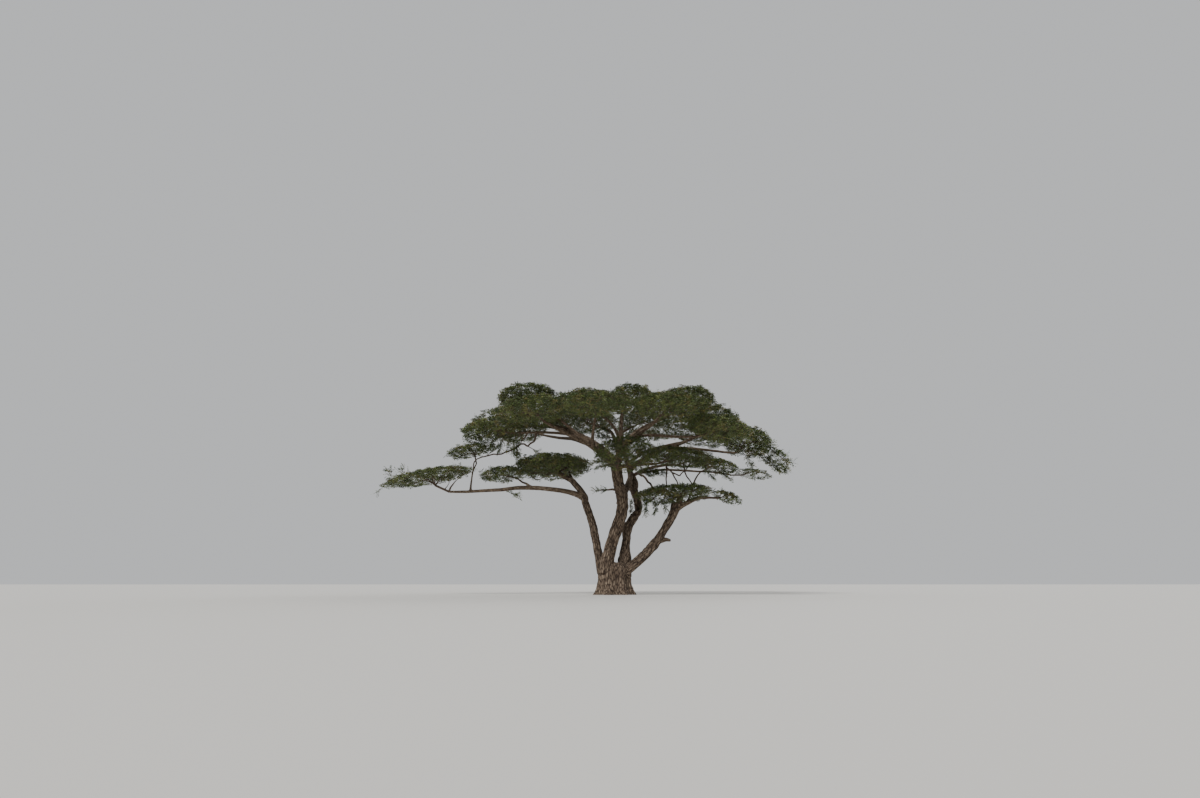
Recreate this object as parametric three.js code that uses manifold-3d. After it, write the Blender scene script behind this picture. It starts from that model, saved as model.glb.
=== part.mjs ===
// Umbrella thorn acacia of the open savanna. A short, flared trunk splits close to the ground into a few
// leaning stems, which fork into long boughs under a wide, layered crown with a nearly flat top.
// Millimetres, +Z up. The origin is the middle of the flat cut under the trunk, at ground level. The crown's
// long side runs along X: its lowest and furthest arm points to -X, and -Y is the front.

import * as THREE from "three";
import { mergeVertices } from "three/addons/utils/BufferGeometryUtils.js";
import Module from "manifold-3d";

const wasm = await Module();
wasm.setup();

// Clearances
const joinGap = 0.3; // a limb or a mass stops this short of what carries it
const leafClearance = 25; // twigs and leaves keep this far off every limb
const spaceMargin = 0.035; // share of a mass's reach that stays empty between it and its neighbour
const mergeDistance = 0.001; // corners nearer than this are one corner

// Trunk: a fused bole that narrows from its root flare and widens again to where the stems part
const trunkHeight = 1520;
const trunkMiddle = 40; // its centre line leans this far to +X on the way up
const trunkWaist = { alongX: 790, alongY: 520 }; // half widths at the narrowest place
const shoulderOut = 90; // how much wider it is again at the stems
const flareHeight = 760;
const flareOut = 230; // how far the root flare stands out at the ground
const buttresses = 7; // ridges that run down into the roots
const buttressDepth = 75;
const buttressTurn = 0.6; // radians, round from +X
const buttressAbove = 0.35; // share of their depth that the ridges keep above the flare
const crownOfTrunk = 0.42; // share of its width that it rounds in by at its top
const crownStart = 0.75; // share of its height where that begins
const trunkSides = 28;
const trunkRings = 8;

// How round the limbs are: sides, and steps along them. A limb keeps its thickness for a while, then tapers.
const stemMesh = { sides: 9, steps: 9 };
const boughMesh = { sides: 7, steps: 5 };
const taperPower = 1.5;
const woodSteps = 30; // steps along a limb at which foliage is kept off it

// Stems rise from the trunk. `bends` are the two handles of the stem's curve, and `thick` its radii at root
// and tip.
const stems = {
  left_stem: {
    root: [-590, -60, 1000],
    bends: [[-740, 100, 2350], [-1470, 450, 5550]],
    tip: [-2400, 1000, 5850],
    thick: [215, 145],
  },
  middle_stem: {
    root: [-400, -170, 1000],
    bends: [[-220, -330, 3300], [2460, -900, 6120]],
    tip: [-2800, 150, 8420],
    thick: [330, 105],
  },
  back_stem: {
    root: [390, 190, 1000],
    bends: [[760, 330, 5750], [2160, 1300, 2100]],
    tip: [400, 3350, 8850],
    thick: [265, 75],
  },
  right_stem: {
    root: [420, -120, 1000],
    bends: [[2000, -140, 2250], [2400, -100, 2850]],
    tip: [3330, -200, 4400],
    thick: [235, 165],
  },
};

// Boughs grow from a stem or from another bough, `at` a share of its length. A bough first follows its parent
// for `follow` of its own span, and comes in to its tip at `rise` degrees above the level.
const boughHandles = { root: 0.2, tip: 0.35 }; // the lengths of its curve's handles, as shares of its span
const boughs = {
  broken_stub: {
    on: "right_stem", at: 0.52, tip: [2830, -120, 2560], thick: [130, 62], follow: 0.1, rise: -10,
  },
  right_low_bough: {
    on: "right_stem", at: 0.93, tip: [4950, -450, 4620], thick: [125, 60], follow: 0.16, rise: -5,
  },
  right_riser: {
    on: "right_low_bough", at: 0.3, tip: [4550, 200, 6050], thick: [55, 40], follow: 0.1, rise: 40,
  },
  left_low_bough: {
    on: "left_stem", at: 0.735, tip: [-8350, -150, 4970], thick: [130, 60], follow: 0.14, rise: -4,
  },
  left_riser: {
    on: "left_low_bough", at: 0.845, tip: [-7150, 300, 6500], thick: [52, 38], follow: 0.05, rise: 60,
  },
  left_tier_bough: {
    on: "left_low_bough", at: 0.4, tip: [-5000, 650, 5760], thick: [60, 42], follow: 0.1, rise: 25,
  },
  back_left_low_bough: {
    on: "left_stem", at: 0.82, tip: [-2600, 3300, 6800], thick: [90, 55], follow: 0.2, rise: 25,
  },
  upper_left_bough: {
    on: "middle_stem", at: 0.93, tip: [-5400, 1400, 8850], thick: [90, 55], follow: 0.25, rise: 12,
  },
  left_shoulder_bough: {
    on: "middle_stem", at: 0.84, tip: [-5050, -550, 7950], thick: [85, 55], follow: 0.2, rise: -4,
  },
  top_left_bough: {
    on: "middle_stem", at: 0.8, tip: [-3700, -600, 9500], thick: [95, 55], follow: 0.25, rise: 40,
  },
  back_left_bough: {
    on: "middle_stem", at: 0.74, tip: [-4150, 2700, 8700], thick: [110, 55], follow: 0.2, rise: 20,
  },
  leader: {
    on: "middle_stem", at: 0.55, tip: [500, 100, 9400], thick: [160, 75], follow: 0.1, rise: 84,
  },
  top_centre_bough: {
    on: "leader", at: 0.5, tip: [-900, 150, 9400], thick: [85, 60], follow: 0.25, rise: 45,
  },
  back_centre_bough: {
    on: "leader", at: 0.35, tip: [-1100, 2900, 9350], thick: [100, 60], follow: 0.25, rise: 25,
  },
  top_right_bough: {
    on: "leader", at: 0.25, tip: [3500, -50, 9350], thick: [115, 65], follow: 0.3, rise: 35,
  },
  front_left_bough: {
    on: "middle_stem", at: 0.58, tip: [-3400, -3200, 7900], thick: [130, 65], follow: 0.2, rise: 20,
  },
  front_centre_bough: {
    on: "front_left_bough", at: 0.3, tip: [-900, -3700, 8050], thick: [90, 60], follow: 0.2, rise: 25,
  },
  front_right_bough: {
    on: "leader", at: 0.18, tip: [2100, -3700, 7950], thick: [125, 65], follow: 0.2, rise: 22,
  },
  front_end_bough: {
    on: "front_right_bough", at: 0.45, tip: [4300, -3000, 7250], thick: [80, 55], follow: 0.2, rise: 12,
  },
  inner_front_bough: {
    on: "middle_stem", at: 0.48, tip: [100, -1650, 5850], thick: [90, 55], follow: 0.2, rise: 35,
  },
  right_shoulder_bough: {
    on: "back_stem", at: 0.72, tip: [5000, 250, 8250], thick: [125, 65], follow: 0.12, rise: 25,
  },
  right_end_bough: {
    on: "right_shoulder_bough", at: 0.5, tip: [6350, -100, 7000], thick: [85, 55], follow: 0.25, rise: -5,
  },
  right_tier_bough: {
    on: "middle_stem", at: 0.58, tip: [2250, -500, 6350], thick: [100, 58], follow: 0.1, rise: 5,
  },
  right_tip_bough: {
    on: "back_stem", at: 0.68, tip: [6300, 850, 6000], thick: [75, 42], follow: 0.08, rise: -15,
  },
  back_tier_bough: {
    on: "back_stem", at: 0.66, tip: [3900, 3900, 7150], thick: [95, 55], follow: 0.15, rise: 8,
  },
  back_end_bough: {
    on: "back_stem", at: 0.76, tip: [4500, 3300, 8450], thick: [100, 60], follow: 0.2, rise: 15,
  },
};

// Masses of foliage. Each keeps to a flattened dome round `centre`, `reach` being its half sizes, and grows
// from the tip of the limb that carries it. A dense one has a core. A mass slopes down away from the trunk,
// by `fall` where it is given (up, if that is negative) and otherwise the more the further out it stands.
// Trailing twigs end beyond their mass's dome, at the points of `trail`.
const fallWithDistance = 0.012 / 1000;
const masses = {
  far_left_foliage: {
    on: "left_low_bough", centre: [-9400, -250, 5720], reach: [2550, 1800, 360], fall: 0.19, dense: true,
    trail: [[-11750, -250, 5170], [-10700, -250, 6040], [-11400, -250, 6120]],
  },
  left_riser_foliage: {
    on: "left_riser", centre: [-7650, 400, 7050], reach: [1300, 1400, 380], fall: 0.12, dense: true,
  },
  left_tier_foliage: {
    on: "left_tier_bough", centre: [-5750, 750, 6040], reach: [1400, 1500, 420], dense: true,
  },
  left_mid_foliage: {
    on: "left_stem", centre: [-3250, 1100, 6530], reach: [2350, 2200, 680], fall: 0.03, dense: true,
  },
  back_left_low_foliage: {
    on: "back_left_low_bough", centre: [-3400, 4400, 7080], reach: [2100, 1900, 560], dense: true,
  },
  left_shoulder_foliage: {
    on: "left_shoulder_bough", centre: [-6140, -600, 8090], reach: [1890, 2200, 610], fall: 0.15, dense: true,
  },
  upper_left_foliage: {
    on: "upper_left_bough", centre: [-6300, 2100, 9350], reach: [1850, 1900, 560], fall: 0.1,
  },
  top_left_foliage: {
    on: "top_left_bough", centre: [-4450, -700, 9830], reach: [1800, 2400, 540], fall: 0.14, dense: true,
  },
  back_left_foliage: {
    on: "back_left_bough", centre: [-5400, 3600, 9120], reach: [1800, 2100, 500], fall: 0.12, dense: true,
  },
  top_centre_foliage: {
    on: "top_centre_bough", centre: [-1500, 0, 9670], reach: [2100, 2500, 600], dense: true,
  },
  inner_left_foliage: {
    on: "middle_stem", centre: [-3950, -550, 8650], reach: [1600, 1500, 500], dense: true,
  },
  crown_top_foliage: {
    on: "leader", centre: [1000, 50, 9860], reach: [1500, 2500, 740], dense: true,
  },
  back_centre_foliage: {
    on: "back_centre_bough", centre: [-1700, 3950, 9740], reach: [2400, 2300, 700], fall: 0, dense: true,
  },
  top_right_foliage: {
    on: "top_right_bough", centre: [3950, -150, 9770], reach: [1650, 2500, 620], dense: true,
  },
  front_left_foliage: {
    on: "front_left_bough", centre: [-3700, -4100, 8150], reach: [2050, 2300, 650], fall: 0.12, dense: true,
  },
  front_centre_foliage: {
    on: "front_centre_bough", centre: [-800, -4500, 8280], reach: [2100, 2400, 620], fall: 0.15, dense: true,
  },
  front_right_foliage: {
    on: "front_right_bough", centre: [2600, -4300, 8200], reach: [2100, 2400, 720], fall: 0.12, dense: true,
  },
  front_end_foliage: {
    on: "front_end_bough", centre: [4800, -3500, 7420], reach: [1650, 2200, 720], fall: 0.2, dense: true,
  },
  inner_front_foliage: {
    on: "inner_front_bough", centre: [620, -2000, 6500], reach: [1740, 1500, 1060], dense: true,
  },
  right_shoulder_foliage: {
    on: "right_shoulder_bough", centre: [5620, 500, 8750], reach: [1340, 2400, 930], fall: 0.2, dense: true,
  },
  right_end_foliage: {
    on: "right_end_bough", centre: [7040, -100, 7500], reach: [1460, 2200, 810], fall: 0.24, dense: true,
    trail: [[8500, -100, 6900], [8850, -100, 6620], [9050, -100, 6480], [8600, -100, 6420]],
  },
  right_tier_foliage: {
    on: "right_tier_bough", centre: [3100, -900, 6600], reach: [2050, 1500, 620], fall: 0.1, dense: true,
  },
  right_thin_foliage: {
    on: "right_riser", centre: [5400, 500, 6430], reach: [1400, 1500, 360], fall: 0.2, dense: true,
  },
  right_tip_foliage: {
    on: "right_tip_bough", centre: [7450, 900, 6070], reach: [1200, 1200, 240], fall: 0.15,
  },
  back_tier_foliage: {
    on: "back_tier_bough", centre: [4700, 4900, 7680], reach: [1900, 1800, 520],
  },
  back_right_foliage: {
    on: "back_stem", centre: [2250, 4050, 9470], reach: [2600, 2300, 550], fall: 0.12, dense: true,
  },
  back_end_foliage: {
    on: "back_end_bough", centre: [5350, 3800, 9060], reach: [2100, 2250, 660], fall: 0.22, dense: true,
  },
  right_low_foliage: {
    on: "right_stem", centre: [3080, -450, 4800], reach: [2320, 1600, 540], fall: -0.05, dense: true,
  },
  right_low_tip_foliage: {
    on: "right_low_bough", centre: [5650, -500, 4640], reach: [880, 950, 350], fall: 0.32, dense: true,
  },
};

// Twigs and leaf sprays
const twigRadius = 20; // at a twig's end; thicker twigs add up from the ends that they carry
const twigsPerMass = 6;
const twigSpread = 0.8; // how far out the outermost twigs end, as a share of the mass's reach
const twigHeight = 0.95; // how high the middle ones end, as a share of it
const twigDrop = 0.2; // how much lower than that dome they all end
const twigJitter = 0.15; // and how far above or below it one may be
const twigHub = { inward: 0.45, ahead: 0.1 }; // where the stem forks: inwards, and on along the limb
const roundabout = 0.4; // what a millimetre already run from the stem costs beside one of new twig
const twigRoot = 1.15; // a twig's root is this much thicker than its end
const stemRoot = 0.9; // and a mass's stem is this much of its limb's tip, at most
const freeTip = 0.85; // a limb's last stretch, from this share of its length, may be met by its own mass
const sprayReach = 0.5; // a spray's radius where it has room, as a share of its mass's reach
const trailSpray = 300; // the radius of a trailing twig's sprays
const bladeShares = [1, 0.8, 0.6]; // a blade without room is shortened to these shares, or else skipped
const fitShares = [1, 0.85, 0.7, 0.55, 0.4, 0.3, 0.2]; // cores and the sprays' middles are drawn in to fit
const blades = 5; // each spray is a star of blades round the twig's end
const bladeRoot = 0.36; // the sprays' radius between two blades, as a share of the blades' own
const sprayThickness = 0.055; // half thickness at the middle, as a share of its radius
const sprayTilt = 24; // degrees, at most
const sprayVary = 0.15; // sprays are this share larger or smaller
const bladeVary = { length: 0.2, turn: 0.25, lift: 0.16, sink: 0.4 }; // and a spray's blades differ by this
const bladeClear = 0.1; // how far a blade keeps off the limbs, as a share of its length
const bladeChecks = [0.5, 0.75, 1]; // the places along it where that is looked at
const coreShare = { across: 0.9, up: 0.86 }; // a dense mass's inner core, as a share of its reach
const coreMesh = { around: 8, down: 4 };
const coreLobes = 3; // its rim stands in and out this many times
const coreLumps = 0.12; // by up to this share
const smallestFacet = 6; // facets smaller than this, left where sprays and twigs cross, are merged
const nearReach = 400; // limbs this far outside a mass's reach are still cut clear of it

const barkMaterial = new THREE.MeshStandardMaterial({ color: 0x5b4a3c, roughness: 0.95, metalness: 0 });
const leafMaterial = new THREE.MeshStandardMaterial({ color: 0x4b5a2c, roughness: 0.8, metalness: 0 });

const vector = (list) => new THREE.Vector3(...list);
const up = new THREE.Vector3(0, 0, 1);
const cylinderAxis = new THREE.Vector3(0, 1, 0);
const goldenTurn = Math.PI * (3 - Math.sqrt(5));

// A seeded stream of numbers from 0 to 1, the same on every run: a linear congruential generator of 32 bits
const stream = { spread: 2654435761, times: 1664525, plus: 1013904223, range: 2 ** 32 };

function seededStream(seed) {
  let state = (seed * stream.spread) >>> 0;
  return () => {
    state = (Math.imul(state, stream.times) + stream.plus) >>> 0;
    return state / stream.range;
  };
}

// A closed three.js geometry as a manifold solid
function solidOf(geometry) {
  const bare = new THREE.BufferGeometry().setAttribute("position", geometry.getAttribute("position"));
  bare.setIndex(geometry.index);
  const merged = mergeVertices(bare, mergeDistance);
  const corners = merged.index.array;
  const faces = [];
  for (let i = 0; i < corners.length; i += 3) {
    const [a, b, c] = corners.slice(i, i + 3);
    if (a !== b && b !== c && c !== a) faces.push(a, b, c);
  }
  const mesh = new wasm.Mesh({
    numProp: 3,
    vertProperties: merged.attributes.position.array,
    triVerts: new Uint32Array(faces),
  });
  return new wasm.Manifold(mesh);
}

// The largest closed shell of a solid: loose scraps go, and a hollow that joining sealed is filled
function wholePiece(solid) {
  const shells = solid.decompose();
  return shells.reduce((best, shell) => (shell.volume() > best.volume() ? shell : best));
}

function meshOf(name, solid, material) {
  const made = solid.getMesh();
  const geometry = new THREE.BufferGeometry();
  geometry.setAttribute("position", new THREE.BufferAttribute(made.vertProperties, 3));
  geometry.setIndex(new THREE.BufferAttribute(made.triVerts, 1));
  const mesh = new THREE.Mesh(geometry, material.clone());
  mesh.name = name;
  return mesh;
}

// A limb's radius at a share of its length
function radiusAt(thick, share) {
  return THREE.MathUtils.lerp(thick[0], thick[1], share ** taperPower);
}

// A limb: a unit cylinder bent onto the limb's curve and tapered, `grow` larger all round
function limbSolid({ curve, thick, fineness }, grow = 0) {
  const { sides, steps } = fineness;
  const geometry = new THREE.CylinderGeometry(1, 1, 1, sides, steps);
  const place = geometry.attributes.position;
  const frames = curve.computeFrenetFrames(steps, false);
  for (let i = 0; i < place.count; i += 1) {
    const share = 0.5 - place.getY(i);
    const ring = Math.round(share * steps);
    const radius = radiusAt(thick, share) + grow;
    const point = curve.getPointAt(share);
    if (ring === 0) point.addScaledVector(curve.getTangentAt(share), -grow);
    if (ring === steps) point.addScaledVector(curve.getTangentAt(share), grow);
    point.addScaledVector(frames.normals[ring], place.getX(i) * radius);
    point.addScaledVector(frames.binormals[ring], place.getZ(i) * radius);
    place.setXYZ(i, point.x, point.y, point.z);
  }
  return solidOf(geometry);
}

// The trunk: a unit cylinder drawn out to an oval bole with a root flare and ridges, and a rounded top.
// Drawing the cylinder's Y out as Z would mirror it, so its circle is run the other way round.
function trunkSolid(grow = 0) {
  const geometry = new THREE.CylinderGeometry(1, 1, 1, trunkSides, trunkRings);
  const place = geometry.attributes.position;
  for (let i = 0; i < place.count; i += 1) {
    const share = place.getY(i) + 0.5;
    const height = share * trunkHeight;
    const turn = Math.atan2(-place.getZ(i), place.getX(i));
    const fromAxis = Math.hypot(place.getX(i), place.getZ(i));
    const flare = Math.max(0, 1 - height / flareHeight) ** 2;
    const shoulder = shoulderOut * share ** 3;
    const ridge = Math.cos(buttresses * turn + buttressTurn) * buttressDepth * (buttressAbove + flare);
    const closing = 1 - crownOfTrunk * Math.max(0, (share - crownStart) / (1 - crownStart)) ** 2;
    const widen = flare * flareOut + shoulder + ridge + grow;
    const x = Math.cos(turn) * (trunkWaist.alongX + widen) * fromAxis * closing;
    const y = Math.sin(turn) * (trunkWaist.alongY + widen) * fromAxis * closing;
    place.setXYZ(i, x + trunkMiddle * share, y, height + grow * share);
  }
  return solidOf(geometry);
}

function stemCurve({ root, bends, tip }) {
  return new THREE.CubicBezierCurve3(vector(root), vector(bends[0]), vector(bends[1]), vector(tip));
}

function boughCurve({ on, at, tip, follow, rise }, curves) {
  const parent = curves[on];
  const start = parent.getPointAt(at);
  const end = vector(tip);
  const span = end.distanceTo(start);
  const level = new THREE.Vector3(end.x - start.x, end.y - start.y, 0).normalize();
  const slope = THREE.MathUtils.degToRad(rise);
  const coming = level.multiplyScalar(Math.cos(slope)).addScaledVector(up, Math.sin(slope));
  const chord = end.clone().sub(start).normalize();
  const first = start.clone().addScaledVector(parent.getTangentAt(at), follow * span);
  first.addScaledVector(chord, boughHandles.root * span);
  const second = end.clone().addScaledVector(coming, -boughHandles.tip * span);
  return new THREE.CubicBezierCurve3(start, first, second, end);
}

// Every limb's curve, radii and mesh fineness, by name
const limbs = {};
const curves = {};
for (const [name, stem] of Object.entries(stems)) {
  curves[name] = stemCurve(stem);
  limbs[name] = { curve: curves[name], thick: stem.thick, fineness: stemMesh };
}
for (const [name, bough] of Object.entries(boughs)) {
  curves[name] = boughCurve(bough, curves);
  limbs[name] = { curve: curves[name], thick: bough.thick, fineness: boughMesh };
}

// Points down the middle of every limb with the radius there, for keeping foliage off the wood
const woodSamples = [];
for (const [name, limb] of Object.entries(limbs)) {
  for (let k = 0; k <= woodSteps; k += 1) {
    const share = k / woodSteps;
    const radius = radiusAt(limb.thick, share);
    woodSamples.push({ name, point: limb.curve.getPointAt(share), radius, share });
  }
}

function touchesWood(point, extra, carrier) {
  return woodSamples.some(
    (wood) =>
      !(wood.name === carrier && wood.share > freeTip) &&
      wood.point.distanceTo(point) < wood.radius + extra + leafClearance,
  );
}

// How much lower a mass's middle plane lies at an offset from its centre
function fallAt(mass, dx, dy) {
  const [x, y] = mass.centre;
  const distance = Math.hypot(x, y);
  return ((mass.fall ?? fallWithDistance * distance) * (dx * x + dy * y)) / distance;
}

// How far out a point lies in a mass: 0 at its centre, 1 at its edge
function howFarOut(mass, point) {
  const [dx, dy, dz] = [0, 1, 2].map((i) => point.getComponent(i) - mass.centre[i]);
  const [a, b, c] = mass.reach;
  return Math.hypot(dx / a, dy / b, (dz + fallAt(mass, dx, dy)) / c);
}

// A mass's own space: inside its dome, and further in than in any neighbour's
function inOwnSpace(name, point) {
  const own = howFarOut(masses[name], point);
  if (own > 1) return false;
  return Object.entries(masses).every(
    ([other, mass]) => other === name || howFarOut(mass, point) > own + spaceMargin,
  );
}

// Twigs branch from the stem's end to points spread evenly over the dome. Each point joins the nearest twig
// that lies further in, a long way round from the stem counting against it. A trailing twig's points join
// whichever is nearest.
function growTwigs(name, mass, random) {
  const start = curves[mass.on].getPointAt(1);
  const heading = curves[mass.on].getTangentAt(1);
  const centre = vector(mass.centre);
  const [a, b, c] = mass.reach;
  const hub = start.clone().lerp(centre, twigHub.inward).addScaledVector(heading, twigHub.ahead * a);
  const joints = [
    { point: start.clone().addScaledVector(heading, joinGap), parent: -1, run: 0 },
    { point: hub, parent: 0, run: start.distanceTo(hub) },
  ];
  const turn = random() * 2 * Math.PI;
  const ends = [];
  for (let k = 0; k < twigsPerMass; k += 1) {
    const out = Math.sqrt((k + 0.5) / twigsPerMass) * twigSpread;
    const angle = turn + k * goldenTurn;
    const height = twigHeight * (1 - out * out) - twigDrop + twigJitter * (2 * random() - 1);
    const [dx, dy] = [a * out * Math.cos(angle), b * out * Math.sin(angle)];
    ends.push(centre.clone().add(vector([dx, dy, c * height - fallAt(mass, dx, dy)])));
  }
  ends.sort((p, q) => p.distanceTo(hub) - q.distanceTo(hub));
  for (const end of ends) {
    if (!inOwnSpace(name, end) || touchesWood(end, twigRadius, mass.on)) continue;
    let parent = 1;
    let least = Infinity;
    joints.forEach((joint, i) => {
      const step = joint.point.distanceTo(end);
      const cost = step + roundabout * joint.run;
      if (i > 0 && cost < least && joint.point.distanceTo(hub) < end.distanceTo(hub)) {
        least = cost;
        parent = i;
      }
    });
    const run = joints[parent].run + joints[parent].point.distanceTo(end);
    joints.push({ point: end, parent, run });
  }
  for (const end of (mass.trail ?? []).map(vector)) {
    const steps = joints.map((joint) => joint.point.distanceTo(end));
    const parent = steps.indexOf(Math.min(...steps));
    joints.push({ point: end, parent, run: joints[parent].run + steps[parent], trailing: true });
  }
  return joints;
}

// Radii that add up as areas from the twig ends back to the stem
function twigRadii(joints) {
  const areas = joints.map(() => 0);
  for (let i = joints.length - 1; i > 0; i -= 1) {
    areas[i] = areas[i] || twigRadius ** 2;
    areas[joints[i].parent] += areas[i];
  }
  return areas.map((area) => Math.sqrt(area));
}

// One tapering three-sided twig
function twigSolid(from, to, thick) {
  const along = to.clone().sub(from);
  const geometry = new THREE.CylinderGeometry(thick[1], thick[0], along.length(), 3, 1);
  geometry.translate(0, along.length() / 2, 0);
  const lean = new THREE.Quaternion().setFromUnitVectors(cylinderAxis, along.normalize());
  geometry.applyQuaternion(lean);
  geometry.translate(from.x, from.y, from.z);
  return solidOf(geometry);
}

// A blade keeps to its mass's own space, nearer to its own twig's end than to any other's, out of the core
// and off the limbs
function bladeIsFree(name, joints, end, blade) {
  const middle = joints[end].point;
  const length = blade.length();
  const tip = middle.clone().add(blade);
  const nearest = joints.every((joint, i) => i < 2 || i === end || joint.point.distanceTo(tip) > length);
  const inCore = masses[name].dense && howFarOut(masses[name], tip) < coreShare.across;
  if (!nearest || inCore) return false;
  return bladeChecks.every((share) => {
    const point = middle.clone().addScaledVector(blade, share);
    return inOwnSpace(name, point) && !touchesWood(point, bladeClear * length, "");
  });
}

// A spray of leaves: a flat double cone round the twig's end, with its rim drawn out to pointed blades. A
// blade that would leave the mass's own space or meet a limb is skipped, but not on a trailing twig.
function spraySolid(name, mass, joints, end, random) {
  const { point: middle, trailing } = joints[end];
  const fullRadius = trailing ? trailSpray : 0.5 * sprayReach * (mass.reach[0] + mass.reach[1]);
  const radius = fullRadius * (1 + sprayVary * (2 * random() - 1));
  const spin = random() * 2 * Math.PI;
  const tiltAbout = new THREE.Vector3(Math.cos(spin), Math.sin(spin), 0);
  const tilt = THREE.MathUtils.degToRad(sprayTilt * (2 * random() - 1));
  const geometry = new THREE.SphereGeometry(1, 2 * blades, 2);
  const place = geometry.attributes.position;
  const rim = Array.from({ length: 2 * blades }, (_, k) => {
    const turn = spin + ((k + bladeVary.turn * (2 * random() - 1)) * Math.PI) / blades;
    const length = radius * (1 + bladeVary.length * (2 * random() - 1));
    const lift = bladeVary.lift * radius * (random() - bladeVary.sink);
    const offset = new THREE.Vector3(Math.cos(turn) * length, Math.sin(turn) * length, lift);
    offset.applyAxisAngle(tiltAbout, tilt);
    const between = offset.clone().setLength(radius * bladeRoot);
    if (trailing) return k % 2 === 0 ? between : offset;
    if (k % 2 === 0) return fitting(name, middle, between);
    const shorter = bladeShares.map((share) => offset.clone().multiplyScalar(share));
    return shorter.find((blade) => bladeIsFree(name, joints, end, blade)) ?? fitting(name, middle, between);
  });
  for (let i = 0; i < place.count; i += 1) {
    const height = place.getY(i);
    if (Math.abs(height) > 0.5) {
      place.setXYZ(i, middle.x, middle.y, middle.z + Math.sign(height) * sprayThickness * radius);
    } else {
      const turn = Math.atan2(place.getZ(i), -place.getX(i));
      const corner = rim[(Math.round((turn / Math.PI) * blades) + 2 * blades) % (2 * blades)];
      place.setXYZ(i, middle.x + corner.x, middle.y + corner.y, middle.z + corner.z);
    }
  }
  return solidOf(geometry);
}

// How much of `offset` from `middle` fits in the mass's own space
function fitting(name, middle, offset) {
  const share = fitShares.find((part) => inOwnSpace(name, middle.clone().addScaledVector(offset, part)));
  return offset.multiplyScalar(share ?? fitShares.at(-1));
}

// A dense mass's core: a flattened dome, drawn in where a neighbour is near
function coreSolid(name, mass, random) {
  const geometry = new THREE.SphereGeometry(1, coreMesh.around, coreMesh.down);
  geometry.rotateX(Math.PI / 2);
  const [a, b, c] = mass.reach;
  const middle = vector(mass.centre);
  const turn = random() * 2 * Math.PI;
  const place = geometry.attributes.position;
  for (let i = 0; i < place.count; i += 1) {
    const offset = new THREE.Vector3().fromBufferAttribute(place, i);
    offset.multiply(new THREE.Vector3(a * coreShare.across, b * coreShare.across, c * coreShare.up));
    const lump = 1 + coreLumps * Math.sin(coreLobes * Math.atan2(offset.y, offset.x) + turn);
    offset.multiply(new THREE.Vector3(lump, lump, 1));
    offset.z -= fallAt(mass, offset.x, offset.y);
    const corner = middle.clone().add(fitting(name, middle, offset));
    place.setXYZ(i, corner.x, corner.y, corner.z);
  }
  return solidOf(geometry);
}

// The limbs, each `joinGap` wider all round, that a mass has to stay clear of
function limbsNear(mass) {
  const reach = Math.max(...mass.reach) + nearReach;
  const centre = vector(mass.centre);
  const near = woodSamples.filter((wood) => wood.point.distanceTo(centre) < reach);
  const names = new Set(near.map((wood) => wood.name));
  return [...names].map((name) => limbSolid(limbs[name], joinGap));
}

function massSolid(name, mass, seed) {
  const random = seededStream(seed);
  const joints = growTwigs(name, mass, random);
  const radii = twigRadii(joints);
  const solids = mass.dense ? [coreSolid(name, mass, random)] : [];
  const stemRadius = Math.min(radii[0], stemRoot * limbs[mass.on].thick[1]);
  joints.forEach((joint, i) => {
    if (i === 0) return;
    const parent = joints[joint.parent];
    const root = i === 1 ? stemRadius : Math.min(radii[i] * twigRoot, radii[joint.parent]);
    solids.push(twigSolid(parent.point, joint.point, [root, radii[i]]));
    if (i > 1) solids.push(spraySolid(name, mass, joints, i, random));
  });
  const joined = wholePiece(wasm.Manifold.union(solids)).simplify(smallestFacet);
  return wholePiece(joined.subtract(wasm.Manifold.union(limbsNear(mass))));
}

// Limbs: each is cut clear of its parent, and of the limbs made before it that it meets at the fork
const tree = new THREE.Group();
tree.add(meshOf("trunk", trunkSolid(), barkMaterial));
const cutters = [trunkSolid(joinGap)];
for (const [name, limb] of Object.entries(limbs)) {
  const solid = wholePiece(limbSolid(limb).subtract(wasm.Manifold.union(cutters)));
  cutters.push(limbSolid(limb, joinGap));
  tree.add(meshOf(name, solid, barkMaterial));
}
Object.entries(masses).forEach(([name, mass], i) => {
  tree.add(meshOf(name, massSolid(name, mass, i + 1), leafMaterial));
});

export default tree;
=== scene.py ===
import math

import bmesh
import bpy
import numpy as np
from mathutils import Matrix, Vector, noise


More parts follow.
